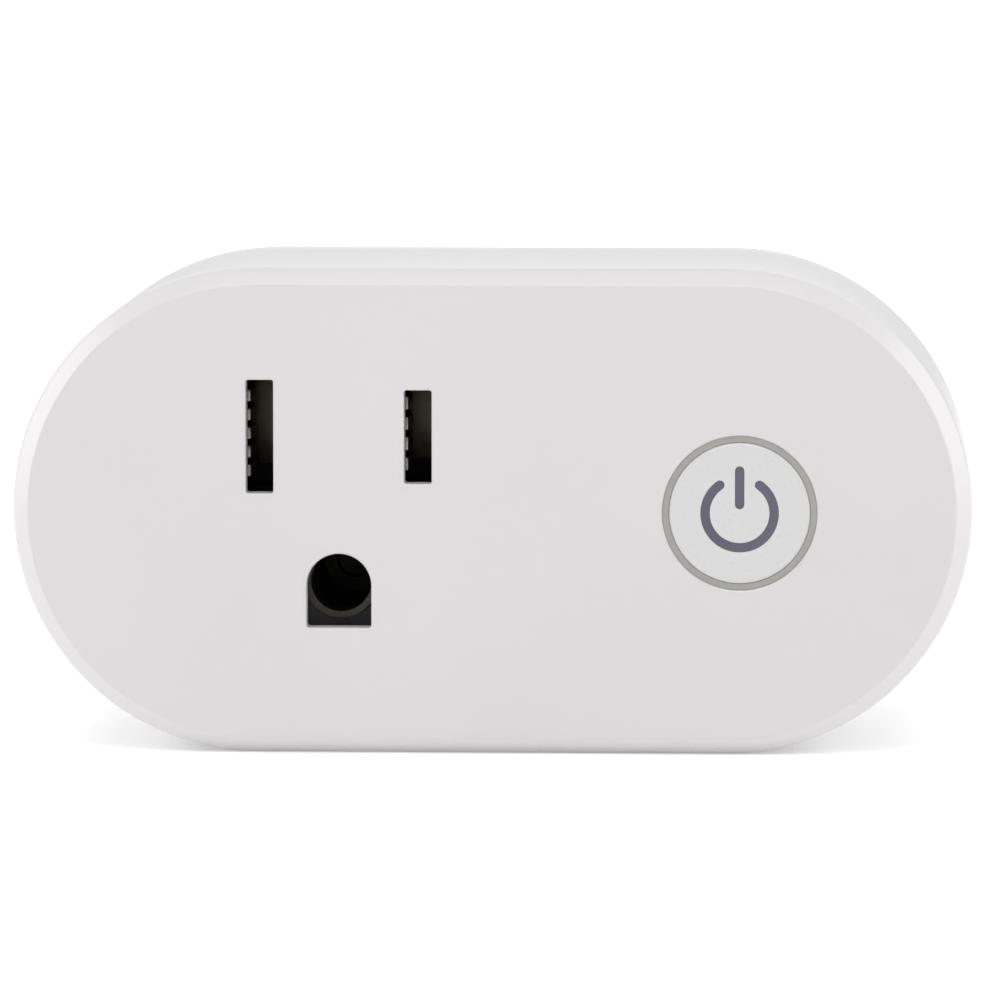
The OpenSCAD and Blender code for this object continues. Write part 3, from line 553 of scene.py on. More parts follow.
def metal(name: str, colour: str, second: str, rough: float = 0.28, **more: object) -> Finish:
    """Bare or plated metal with fine scratches along the depth."""
    settings = {"metal": 1.0, "pattern": Pattern.BRUSHED, "stretch": (1.0, 0.08, 1.0), "grain": 0.00012,
                "relief": 0.0000012, "patch": 0.003} | more
    return Finish(name, tint(colour), tint(second), rough, **settings)


FINISHES: dict[str, Finish] = {f.name: f for f in (
    plastic("shell_white", "cfcdce", "cdcbcc", 0.30, rough_spread=0.012, grain=0.0004, relief=0.0000006,
            patch=0.03),
    plastic("button_white", "cdcccc", "cbcaca", 0.28, rough_spread=0.008, grain=0.0005, relief=0.0000002,
            patch=0.02),
    plastic("icon_grey", "5c5b6a", "545362", 0.5, grain=0.00012),
    # Grey that is partly painted shade: darkened to the tone of the recessed groove around the button.
    plastic("light_pipe", "a4a29f", "9f9d9a", 0.36, glow_through=0.1, patch=0.004),
    plastic("label_silver", "cfd0d3", "cacbce", 0.38, stretch=(0.06, 1.0, 1.0), metal=0.35, grain=0.0001,
            relief=0.0000004, patch=0.003),
    # Dark grey plastic, partly painted light: lightened so the deep shade inside the slots reads less black.
    # The blade holder and the board header wear it too.
    plastic("carrier_black", "3e3e40", "363638", 0.5),
    metal("contact_brass", "a39a88", "8d8472", 0.42),
    # Dark bronze tone that is partly painted shade: darkened so the ground contact and the pin's end read
    # dark inside the ground hole.
    metal("ground_bronze_painted_shade", "54514c", "4a4743", 0.55),
    metal("blade_nickel", "c8c4ba", "b8b3a8", 0.27),
    metal("screw_steel", "b4b6ba", "9c9ea3", 0.32),
    plastic("board_green", "1e5a34", "3a7d4a", 0.34, pattern=Pattern.PRINTED, patch=0.0022, coat=0.5),
    plastic("radio_blue", "1d4a74", "2f6590", 0.34, pattern=Pattern.PRINTED, patch=0.0016, coat=0.5),
    plastic("sheet_amber", "d9cf9a", "cfc38a", 0.4, clear=0.3),
    plastic("relay_blue", "2456a8", "1f4c98", 0.3),
    plastic("relay_dark", "2b3a55", "25324a", 0.45),
    plastic("bobbin_cream", "e8e4d8", "dfdacb", 0.45),
    metal("copper", "c4703a", "a4552a", 0.3, pattern=Pattern.WOUND, stretch=(1.0, 1.0, 1.0), grain=0.0003,
          relief=0.00002),
    metal("iron", "a7a9ac", "8d8f92", 0.4),
    metal("contact_alloy", "d09a60", "b98450", 0.3),
    metal("tinned", "c4c5c7", "adafb2", 0.3, stretch=(1.0, 1.0, 1.0)),
    plastic("can_black", "26282c", "1f2125", 0.35),
    plastic("can_blue", "2b3f73", "243664", 0.35),
    plastic("film_yellow", "d6b33a", "cba730", 0.4, pattern=Pattern.CAST, grain=0.0006, relief=0.00001),
    plastic("varistor_blue", "2f6fb0", "28629e", 0.35, pattern=Pattern.CAST, grain=0.0009, relief=0.00003),
    plastic("fuse_brown", "8a5a3c", "7d5034", 0.4),
    plastic("ferrite", "3a3a3c", "303033", 0.6, pattern=Pattern.CAST, grain=0.0004, relief=0.00001),
    plastic("chip_black", "202124", "1a1b1e", 0.55),
    plastic("chip_tan", "8f8478", "7f756a", 0.5),
    metal("shield_steel", "c3c5c8", "b0b2b5", 0.3, stretch=(0.08, 1.0, 1.0)),
    plastic("plunger_cream", "d8cfc0", "cdc3b2", 0.45),
    plastic("led_clear", "e9e6c8", "dfdbb8", 0.2, clear=0.3),
    plastic("wire_black", "1c1c1c", "161616", 0.5),
    plastic("wire_red", "a8322a", "992b24", 0.45),
    plastic("wire_white", "e6e6e2", "dadad5", 0.45),
)}


class Wardrobe:
    """Materials of the plug, made once each when first asked for."""

    def __init__(self) -> None:
        """Starts with no material made."""
        self._made: dict[str, bpy.types.Material] = {}

    def __getitem__(self, slot: str) -> bpy.types.Material:
        """Gives the material of a slot."""
        if slot not in self._made:
            self._made[slot] = FINISHES[slot].build()
        return self._made[slot]


# ---------------------------------------------------------------- node trees for repeated shapes

def settled(source: bpy.types.Object, name: str) -> bpy.types.Object:
    """Turns an object with a live modifier into a plain mesh object and removes the source."""
    graph = bpy.context.evaluated_depsgraph_get()
    data = bpy.data.meshes.new_from_object(source.evaluated_get(graph))
    source.modifiers.clear()
    bpy.data.objects.remove(source)
    data.name = name
    thing = bpy.data.objects.new(name, data)
    bpy.context.scene.collection.objects.link(thing)
    return thing


class NodeRecipe:
    """Geometry Nodes tree with named inputs."""

    def __init__(self, name: str, inputs: dict[str, str]) -> None:
        """Starts a tree.

        Args:
            name: Name of the tree.
            inputs: Socket type of each input, by its name.
        """
        self.tree = bpy.data.node_groups.new(name, "GeometryNodeTree")
        self.tree.interface.new_socket("Geometry", in_out="INPUT", socket_type="NodeSocketGeometry")
        self.tree.interface.new_socket("Geometry", in_out="OUTPUT", socket_type="NodeSocketGeometry")
        self.keys = {label: self.tree.interface.new_socket(label, in_out="INPUT", socket_type=kind).identifier
                     for label, kind in inputs.items()}
        self.start = self.tree.nodes.new("NodeGroupInput")
        self.end = self.tree.nodes.new("NodeGroupOutput")

    def add(self, kind: str, **links: bpy.types.NodeSocket) -> bpy.types.Node:
        """Adds a node and links its inputs by name, with _ for a space."""
        node = self.tree.nodes.new(kind)
        for label, source in links.items():
            self.tree.links.new(source, node.inputs[label.replace("_", " ")])
        return node

    def finish(self, shape: bpy.types.NodeSocket) -> None:
        """Ends the tree in Realize Instances and Set Material."""
        real = self.add("GeometryNodeRealizeInstances", Geometry=shape)
        dressed = self.add("GeometryNodeSetMaterial", Geometry=real.outputs[0],
                           Material=self.start.outputs["Finish"])
        self.tree.links.new(dressed.outputs[0], self.end.inputs[0])

    def run(self, data: bpy.types.Mesh, name: str, values: dict[str, object]) -> bpy.types.Object:
        """Applies the tree to a mesh.

        Args:
            data: Mesh that the tree starts from.
            name: Name of the finished piece.
            values: Value of each input, by its name.

        Returns:
            A plain mesh object.
        """
        source = bpy.data.objects.new(name + "_source", data)
        bpy.context.scene.collection.objects.link(source)
        modifier = source.modifiers.new(self.tree.name, "NODES")
        modifier.node_group = self.tree
        for label, value in values.items():
            modifier[self.keys[label]] = value
        return settled(source, name)


class Repeater(NodeRecipe):
    """Sets a copy of a small part on every given place."""

    def __init__(self) -> None:
        """Builds the tree."""
        super().__init__("copies on places", {"Part": "NodeSocketObject", "Size": "NodeSocketFloat",
                                              "Finish": "NodeSocketMaterial"})
        info = self.add("GeometryNodeObjectInfo", Object=self.start.outputs["Part"])
        copies = self.add("GeometryNodeInstanceOnPoints", Points=self.start.outputs["Geometry"],
                          Instance=info.outputs["Geometry"], Scale=self.start.outputs["Size"])
        self.finish(copies.outputs[0])

    def lay(self, part: Shell, places: Iterable[tuple[float, float, float]], name: str,
            material: bpy.types.Material) -> bpy.types.Object:
        """Copies a part, built about the origin, to every place in millimetres."""
        model = part.piece(name + "_model", None)
        data = bpy.data.meshes.new(name + "_places")
        data.from_pydata([Vector(place) * MM for place in places], [], [])
        thing = self.run(data, name, {"Part": model, "Size": 1.0, "Finish": material})
        bpy.data.objects.remove(model)
        return thing


class Winder(NodeRecipe):
    """Winds a wire in a close spiral."""

    def __init__(self) -> None:
        """Builds the tree."""
        super().__init__("wire winding", {"Turns": "NodeSocketFloat", "Radius": "NodeSocketFloat",
                                          "Length": "NodeSocketFloat", "Wire": "NodeSocketFloat",
                                          "Finish": "NodeSocketMaterial"})
        out = self.start.outputs
        spiral = self.add("GeometryNodeCurveSpiral", Rotations=out["Turns"], Start_Radius=out["Radius"],
                          End_Radius=out["Radius"], Height=out["Length"])
        spiral.inputs["Resolution"].default_value = 28
        section = self.add("GeometryNodeCurvePrimitiveCircle", Radius=out["Wire"])
        section.inputs["Resolution"].default_value = 8
        wire = self.add("GeometryNodeCurveToMesh", Curve=spiral.outputs[0], Profile_Curve=section.outputs[0])
        wire.inputs["Fill Caps"].default_value = True
        smooth = self.add("GeometryNodeSetShadeSmooth", Geometry=wire.outputs[0])
        self.finish(smooth.outputs[0])

    def wind(self, name: str, span: Span, radius: float, wire: float, material: bpy.types.Material
             ) -> bpy.types.Object:
        """Winds one layer inside the box of a CAD node, along its depth.

        Args:
            name: Name of the piece.
            span: Box of the winding.
            radius: Radius of the wire's middle line.
            wire: Radius of the wire.
            material: Finish of the wire.

        Returns:
            The winding as a plain mesh.
        """
        length = span.size.y - 2 * wire
        values = {"Turns": length / (2.05 * wire), "Radius": radius * MM, "Length": length * MM,
                  "Wire": wire * MM, "Finish": material}
        thing = self.run(bpy.data.meshes.new(name + "_start"), name, values)
        start = Vector((span.mid.x, span.high.y - wire, span.mid.z)) * MM
        thing.data.transform(Matrix.Translation(start) @ Matrix.Rotation(math.radians(90), 4, "X"))
        return thing


# ---------------------------------------------------------------- sub-assemblies

@dataclass
class SubAssembly:
    """Pieces of the plug that are built and dressed together."""

    pieces: dict[str, str] = field(default_factory=dict, init=False)
    body: str = field(default="housing", init=False)

    def build(self, kit: "Workshop") -> None:
        """Makes the pieces that stand for CAD nodes."""

    def kept(self) -> dict[str, str]:
        """Names the CAD nodes that are shown, with the finish of each."""
        return {}

    def dress(self, kit: "Workshop") -> None:
        """Gives every shown CAD node its finish."""
        for node, slot in self.kept().items():
            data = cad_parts[node].data
            data.materials.clear()
            data.materials.append(kit.wardrobe[slot])
            log.info("%s wears %s", node, slot)

    def add(self, thing: bpy.types.Object, slot: str, *nodes: str) -> None:
        """Fixes a finished piece to the body and names the CAD nodes it stands for."""
        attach(thing, self.body)
        if nodes:
            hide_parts(*nodes)
        self.pieces[thing.name] = slot
        log.info("%s built, %d faces, wears %s", thing.name, len(thing.data.polygons), slot)

    def add_shell(self, shell: Shell, name: str, slot: str, kit: "Workshop", *nodes: str) -> None:
        """Finishes a mesh and fixes it to the body."""
        self.add(shell.piece(name, kit.wardrobe[slot]), slot, *nodes)


@dataclass(frozen=True)
class Workshop:
    """What every sub-assembly needs while it is made."""

    wardrobe: Wardrobe
    repeater: Repeater
    winder: Winder


@dataclass(frozen=True)
class OutletLayout:
    """Places and sizes of the outlet's three openings."""

    middle: float = -12.2
    pitch: float = 12.7
    slot_z: float = 25.5
    ground_z: float = 13.6
    slot_width: float = 2.2
    neutral_height: float = 9.1
    line_height: float = 7.5
    hole_radius: float = 2.6
    hole_flat: float = 3.35
    hole_low: float = 0.1

    @property
    def neutral_x(self) -> float:
        """Middle of the neutral slot."""
        return self.middle - self.pitch / 2

    @property
    def line_x(self) -> float:
        """Middle of the line slot."""
        return self.middle + self.pitch / 2

    def openings(self) -> list[Outline]:
        """Outlines of the two slots and the ground hole."""
        return [rounded_rect(self.neutral_x, self.slot_z, self.slot_width, self.neutral_height, 0.2),
                rounded_rect(self.line_x, self.slot_z, self.slot_width, self.line_height, 0.2),
                dee(self.middle, self.ground_z - self.hole_low, self.hole_radius, self.hole_flat)]


OUTLET = OutletLayout()
BUTTON_X = 19.9
SCREW_X = 33.2


@dataclass
class FrontShell(SubAssembly):
    """Front cover with its face, side wall and the posts behind the face."""

    face: float = 2.0
    wall: float = 1.8
    bevel: tuple[float, float] = (1.3, 1.4)
    bevel_edge: tuple[float, float] = (0.3, 0.9)
    hole_edge: float = 0.22
    seam_edge: float = 0.22
    button_hole: float = 6.2
    collar: tuple[float, float] = (8.1, 9.1)
    boss: tuple[float, float] = (1.0, 2.6)
    post: tuple[float, float] = (0.75, 2.0)
    post_end: float = -17.65
    web_x: float = 35.2
    web: tuple[float, float] = (1.8, 0.7)

    def build(self, kit: Workshop) -> None:
        """Makes the cover as one closed wall with its holes.

        Args:
            kit: Tools and finishes of the workshop.
        """
        span = Span.of("front_cover")
        front, seam, middle = span.low.y, span.high.y, span.mid.z
        inside = front + self.face
        shell = Shell()
        rim = obround(span.size.x, span.size.z, span.mid.x, middle)
        wide, deep = self.bevel
        bevel = eased([(-wide - 0.6, front), (-wide, front), (0.0, front + deep), (0.0, seam - 2)],
                      {1: self.bevel_edge[0], 2: self.bevel_edge[1]}, 8)
        profile = (bevel[:-1] + rounding(self.seam_edge, seam, -1)[::-1]
                   + [(-self.wall, seam), (-self.wall, inside)])
        face, back = shell.sweep(rim, profile)
        holes = [shell.sweep(hole, rounding(self.hole_edge, front, 1, hole=True) + [(0.0, inside)])
                 for hole in OUTLET.openings() + [circle(BUTTON_X, middle, self.button_hole, 96)]]
        shell.cap(face, *(first for first, _ in holes))
        shell.cap(back, *(last for _, last in holes))
        self._posts(shell, inside - 0.3, seam - 2.3, middle)
        self.add_shell(shell, "front_shell", "shell_white", kit, "front_cover")

    def _posts(self, shell: Shell, root: float, boss_end: float, middle: float) -> None:
        """Adds the collar, the end bosses and the posts behind the face.

        Args:
            shell: Mesh of the cover.
            root: Depth where they grow out of the face.
            boss_end: Depth where the end bosses stop.
            middle: Height of the cover's middle.
        """
        def tube(x: float, z: float, radii: tuple[float, float], end: float) -> None:
            """Adds one hollow post."""
            inner, outer = radii
            shell.turned_ring(x, z, [(inner, root), (outer, root), (outer, end - 0.15), (outer - 0.15, end),
                                     (inner + 0.1, end), (inner, end - 0.1)], 64)
        tube(BUTTON_X, middle, self.collar, self.post_end)
        for x in (10.8, 27.6):
            tube(x, 29.8, self.post, self.post_end)
        for side in (-1, 1):
            tube(side * SCREW_X, middle, self.boss, boss_end)
            web, (half_x, half_z) = side * self.web_x, self.web
            shell.block((web - half_x, root, middle - half_z), (web + half_x, boss_end, middle + half_z), 0.1)
            rib = OUTLET.middle + side * 14.25
            shell.block((rib - 0.6, root, middle - 9), (rib + 0.6, root + 5.3, middle + 9), 0.1)


@dataclass
class RearShell(SubAssembly):
    """Rear cover with the holes for blades, pin and screws, and the label."""

    plate: float = 2.0
    wall: float = 3.05
    tongue: float = 1.85
    edge: float = 1.0
    seam_edge: float = 0.22
    hole_edge: float = 0.15
    blade_hole: tuple[float, float] = (1.6, 6.45)
    pin_hole: float = 3.05
    counterbore: tuple[float, float, float] = (2.3, 1.2, 1.2)
    label_recess: float = 0.2
    label_t: float = 0.15
    post: tuple[float, float] = (0.85, 2.2)

    def build(self, kit: Workshop) -> None:
        """Makes the cover and its label.

        Args:
            kit: Tools and finishes of the workshop.
        """
        span, label = Span.of("rear_cover"), Span.of("rear_label")
        rear, middle = span.high.y, span.mid.z
        inside, seam = rear - self.plate, Span.of("front_cover").high.y + 0.05
        shell = Shell()
        rim = obround(span.size.x, span.size.z, span.mid.x, middle)
        profile = ([(-self.wall, inside), (-self.wall, span.low.y)]
                   + [(-self.tongue, span.low.y), (-self.tongue, seam)]
                   + rounding(self.seam_edge, seam, 1) + rounding(self.edge, rear, -1, 10)[::-1])
        inner, outer = shell.sweep(rim, profile)
        mouth = rounding(self.hole_edge, rear, -1, 4, hole=True)
        wide, deep, narrow = self.counterbore
        through = [rounded_rect(x, OUTLET.slot_z, *self.blade_hole, 0.12)
                   for x in (OUTLET.neutral_x, OUTLET.line_x)]
        through.append(circle(OUTLET.middle, OUTLET.ground_z, self.pin_hole))
        holes = [shell.sweep(hole, mouth + [(0.0, inside)]) for hole in through]
        for side in (-1, 1):
            step = [(0.0, rear - deep), (narrow - wide, rear - deep), (narrow - wide, inside)]
            holes.append(shell.sweep(circle(side * SCREW_X, middle, wide), mouth + step))
        pocket = rounded_rect(label.mid.x, label.mid.z, label.size.x + 0.2, label.size.z + 0.2, 1.3, 8)
        pocket_wall = rounding(0.08, rear, -1, 3, hole=True) + [(0.0, rear - self.label_recess)]
        top, floor = shell.sweep(pocket, pocket_wall)
        shell.cap(floor)
        shell.cap(outer, top, *(first for first, _ in holes))
        shell.cap(inner, *(last for _, last in holes))
        self._posts(shell, inside + 0.3)
        self.add_shell(shell, "rear_shell", "shell_white", kit, "rear_cover")
        plate = Shell()
        sheet = rounded_rect(label.mid.x, label.mid.z, label.size.x, label.size.z, 1.2, 10)
        plate.solid(sheet, soft_ends(label.low.y, label.high.y, 0.04, 3))
        self.add_shell(plate, "label_plate", "label_silver", kit, "rear_label")

    def _posts(self, shell: Shell, root: float) -> None:
        """Adds the posts under the main board, the blade holder and the carrier."""
        inner, outer = self.post
        seats = [(6.2, 32.2, -0.15), (29.2, 27.6, -0.15), (OUTLET.middle, 28.6, 0.7),
                 (OUTLET.neutral_x - 1.0, 11.6, 0.7), (OUTLET.line_x + 1.0, 11.6, 0.7)]
        for x, z, start in seats:
            shell.turned_ring(x, z, [(inner, root), (inner, start + 0.1), (inner + 0.1, start),
                                     (outer - 0.15, start), (outer, start + 0.15), (outer, root)], 48)
        for sx in (-1, 1):
            for sz in (-1, 1):
                shell.lathe(OUTLET.middle + sx * 11.8, 19.5 + sz * 12.3,
                            [(1.45, -4.8), (1.6, -4.65), (1.6, root)], 40)


@dataclass
class PowerButton(SubAssembly):
    """Push cap with its power symbol."""

    cap: float = 5.65
    edge: float = 0.3
    flange: float = 6.5
    skirt: float = 4.6
    stem: float = 1.5
    cap_t: float = 1.4
    flange_y: tuple[float, float] = (-22.2, -21.4)
    stem_y: float = -21.95
    key: float = 1.2
    icon_depth: float = 0.3
    icon_radius: float = 2.76
    icon_line: float = 0.74
    icon_half_gap: float = 35.0
    bar: tuple[float, float] = (0.7, 3.4)

    def build(self, kit: Workshop) -> None:
        """Makes the cap and the inlaid symbol.

        Args:
            kit: Tools and finishes of the workshop.
        """
        self.body = "button"
        front, middle = Span.of("power_button").low.y, Span.of("front_cover").mid.z
        flange, back = self.flange_y
        half = self.icon_line / 2
        symbol = [open_ring(BUTTON_X, middle, self.icon_radius, half, self.icon_half_gap),
                  upright_bar(BUTTON_X, middle + self.bar[0], middle + self.bar[1], half)]
        shell = Shell()
        rim = circle(BUTTON_X, middle, self.cap, 128)
        under = front + self.cap_t
        steps = [(self.flange, flange), (self.flange, back), (self.skirt, back), (self.skirt, under),
                 (self.stem, under), (self.stem, self.stem_y)]
        profile = rounding(self.edge, front, 1, 8) + [(0.0, flange)] + [(r - self.cap, y) for r, y in steps]
        face, end = shell.sweep(rim, profile)
        shell.cap(end)
        wells = [shell.sweep(mark, [(0.03, front), (0.0, front + 0.03), (0.0, front + self.icon_depth)])
                 for mark in symbol]
        for _, floor in wells:
            shell.cap(floor)
        shell.cap(face, *(top for top, _ in wells))
        shell.block((BUTTON_X - self.key / 2, flange, middle - self.flange - 1.5),
                    (BUTTON_X + self.key / 2, back, middle - self.flange + 0.5), 0.08)
        self.add_shell(shell, "button_cap", "button_white", kit, "power_button")
        inlay = Shell()
        for mark in symbol:
            inlay.solid(mark, [(-0.06, front + 0.012), (-0.02, front + 0.02), (-0.005, front + 0.05),
                               (-0.005, front + self.icon_depth - 0.01)])
        self.add_shell(inlay, "power_symbol", "icon_grey", kit, "power_icon")


@dataclass
class LightRing(SubAssembly):
    """Light guide round the button, with two legs down to the lamps."""

    lip: tuple[float, float] = (5.665, 6.195)
    flange: float = 8.0
    drop: float = 0.25
    flange_y: tuple[float, float] = (-23.25, -22.3)
    leg: tuple[float, float] = (0.55, 7.4)
    leg_end: float = -18.45

    def build(self, kit: Workshop) -> None:
        """Makes the ring and its legs.

        Args:
            kit: Tools and finishes of the workshop.
        """
        front, middle = Span.of("front_cover").low.y, Span.of("front_cover").mid.z
        (inner, outer), (low, high) = self.lip, self.flange_y
        top = front + self.drop
        shell = Shell()
        shell.turned_ring(BUTTON_X, middle, [
            (inner, high), (inner, top + 0.02), (inner + 0.02, top), (outer - 0.02, top), (outer, top + 0.02),
            (outer, low), (self.flange - 0.1, low), (self.flange, low + 0.1), (self.flange, high)], 128)
        radius, reach = self.leg
        for angle in (30, 150):
            x = BUTTON_X + reach * math.cos(math.radians(angle))
            z = middle + reach * math.sin(math.radians(angle))
            foot = [(radius, self.leg_end - 0.1), (radius - 0.1, self.leg_end)]
            shell.lathe(x, z, [(radius, high - 0.2)] + foot, 24)
        self.add_shell(shell, "light_ring", "light_pipe", kit, "button_light_ring")


@dataclass
class Fasteners(SubAssembly):
    """Cross-recess screws of the covers and the boards."""

    pitch: float = 0.6
    cross: float = 0.6
    arm_round: float = 0.2
    arm_corner: float = 0.31

    def build(self, kit: Workshop) -> None:
        """Makes one screw of each kind and sets its copies.

        Args:
            kit: Tools and finishes of the workshop.
        """
        rear = Span.of("cover_screws").high.y
        middle = Span.of("cover_screws").mid.z
        cover = self.screw(2.1, 1.0, 0.95, 11.0, -1, 0.9)
        self._lay(kit, cover, [(side * SCREW_X, rear, middle) for side in (-1, 1)], "cover_screws")
        holder, board, control = (Span.of(n) for n in ("holder_screws", "board_screws", "control_screws"))
        small = {"holder_screws": (holder, ((OUTLET.middle, 28.6), (OUTLET.neutral_x - 1.0, 11.6),
                                            (OUTLET.line_x + 1.0, 11.6))),
                 "board_screws": (board, ((6.2, 32.2), (29.2, 27.6)))}
        for node, (span, places) in small.items():
            screw = self.screw(1.6, 1.0, 0.8, span.size.y, 1, 0.55)
            self._lay(kit, screw, [(x, span.low.y, z) for x, z in places], node)
        screw = self.screw(1.4, 1.0, 0.7, control.size.y, -1, 0.5)
        self._lay(kit, screw, [(x, control.high.y, 29.8) for x in (10.8, 27.6)], "control_screws")

    def _lay(self, kit: Workshop, screw: Shell, places: list[tuple[float, float, float]], node: str) -> None:
        """Copies a screw to its places in the name of a CAD node."""
        thing = kit.repeater.lay(screw, places, node + "_detailed", kit.wardrobe["screw_steel"])
        self.add(thing, "screw_steel", node)

    def screw(self, head: float, head_t: float, core: float, length: float, into: int, cross: float) -> Shell:
        """Builds a screw whose head's top is at the origin.

        Args:
            head: Radius of the head.
            head_t: Thickness of the head.
            core: Outer radius of the thread.
            length: Whole length.
            into: Direction of the shank, 1 or -1 along the depth.
            cross: Reach of each arm of the cross recess.

        Returns:
            The open mesh of the screw.
        """
        shell = Shell()
        ridge = [(core, into * head_t)]
        depth = head_t + 0.5
        while depth < length - 1.2:
            ridge += [(core * 0.82, into * depth), (core, into * (depth + self.pitch * 0.5))]
            depth += self.pitch
        ridge += [(core * 0.8, into * (length - 1.0)), (core * 0.15, into * length)]
        round_top = [(r + head, d) for r, d in rounding(0.28, 0.0, into, 5, collar=0.1)]
        profile = round_top + [(head, into * (head_t - 0.06)), (head - 0.06, into * head_t)] + ridge
        first, last = shell.sweep(circle(0, 0, 0.0, 48), profile)
        shell.cap(last)
        arcs = []
        for turn in (0, 90, 180, 270):
            along, corner = math.radians(turn), math.radians(turn + 45)
            arcs.append(Arc(cross * math.cos(along), cross * math.sin(along), self.arm_round,
                            turn - 90, 180, 4))
            arcs.append(Arc(self.arm_corner * math.cos(corner), self.arm_corner * math.sin(corner), 0.0,
                            turn + 45, 0, 0))
        arms = Outline(tuple(arcs))
        mouth, floor = shell.sweep(arms, [(0.03, 0.0), (0.0, into * 0.03), (-0.08, into * self.cross)])
        shell.cap(floor)
        shell.cap(first, mouth)
        return shell


@dataclass
class Blades(SubAssembly):
    """Two flat blades and the round ground pin."""

    thick: float = 1.5
    width: float = 6.35
    edge: float = 0.14
    root_corner: float = 0.3
    corner: float = 0.9
    hole: float = 1.6
    hole_y: float = 16.6
    taper: float = 1.6
    tip_drop: float = 0.5
    shoulder: tuple[float, float, float] = (0.7, 2.65, 8.6)
    pin_radius: float = 2.4

    def build(self, kit: Workshop) -> None:
        """Makes the blades and the pin."""
        for node, x in (("neutral_blade", OUTLET.neutral_x), ("line_blade", OUTLET.line_x)):
            self.add_shell(self._blade(Span.of(node), x), node + "_stamped", "blade_nickel", kit, node)
        pin = Span.of("ground_pin")
        turned = self._pin(pin).piece("ground_pin_turned", kit.wardrobe["blade_nickel"])
        # Painted shade: the pin's end inside the housing wears the dark ground finish so that it reads dark
        # through the ground hole.
        paint_front_shading(turned, kit.wardrobe["ground_bronze_painted_shade"], pin.low.y + 1.0)
        self.add(turned, "blade_nickel", "ground_pin")

    def _blade(self, span: Span, x: float) -> Shell:
        """Builds one blade: a flat strip with a hole and a tapered tip.

        Args:
            span: Box of the blade's CAD node.
            x: Middle of the blade across the outlet.

        Returns:
            The mesh of the blade.
        """
        shell = Shell(Plane.SIDE)
        root, tip, half = span.low.y, span.high.y, self.width / 2
        z = OUTLET.slot_z
        c = self.corner
        r = self.root_corner
        side_view = Outline((Arc(tip - c, z - half + c, c, -90, 90, 6),
                             Arc(tip - c, z + half - c, c, 0, 90, 6),
                             Arc(root + r, z + half - r, r, 90, 90, 4),
                             Arc(root + r, z - half + r, r, 180, 90, 4)))
        sides = x - self.thick / 2, x + self.thick / 2
        first, last = shell.sweep(side_view, soft_ends(*sides, self.edge))
        rim = circle(self.hole_y, z, self.hole, 48)
        near = rounding(0.1, sides[0], 1, 3, hole=True, collar=0.1)
        far = rounding(0.1, sides[1], -1, 3, hole=True, collar=0.1)
        low, high = shell.sweep(rim, near + far[::-1])
        shell.cap(first, low)
        shell.cap(last, high)
        slope = tip - self.taper
        cut = shell.mesh.verts[:] + shell.mesh.edges[:] + shell.mesh.faces[:]
        bmesh.ops.bisect_plane(shell.mesh, geom=cut, plane_co=Vector((0, slope * MM, 0)),
                               plane_no=Vector((0, 1, 0)))
        for vert in shell.mesh.verts:
            past = max(0.0, vert.co.y / MM - slope) / self.taper
            vert.co.x = (x + (vert.co.x / MM - x) * (1 - past * self.tip_drop / (self.thick / 2))) * MM
        start, end, height = self.shoulder
        shell.block((sides[0], start, z - height / 2), (sides[1], end, z + height / 2), 0.1)
        return shell

    def _pin(self, span: Span) -> Shell:
        """Builds the turned pin with its shoulder, flange and post."""
        shell = Shell()
        rear, radius = Span.of("rear_cover").high.y, self.pin_radius
        tip = span.high.y - radius
        dome = [(radius * math.cos(a), tip + radius * math.sin(a))
                for a in (math.radians(6 * i) for i in range(1, 15))]
        post = [(1.3, span.low.y), (1.6, span.low.y + 0.3), (1.6, 0.7)]
        flange = [(4.05, 0.7), (4.2, 0.85), (4.2, 2.5), (4.05, 2.65)]
        neck = [(3.0, 2.65), (3.0, rear - 0.12), (2.88, rear), (radius + 0.15, rear)]
        profile = post + flange + neck + [(radius, rear + 0.15), (radius, tip)] + dome + [(0.1, span.high.y)]
        shell.lathe(OUTLET.middle, OUTLET.ground_z, profile, 72)
        return shell


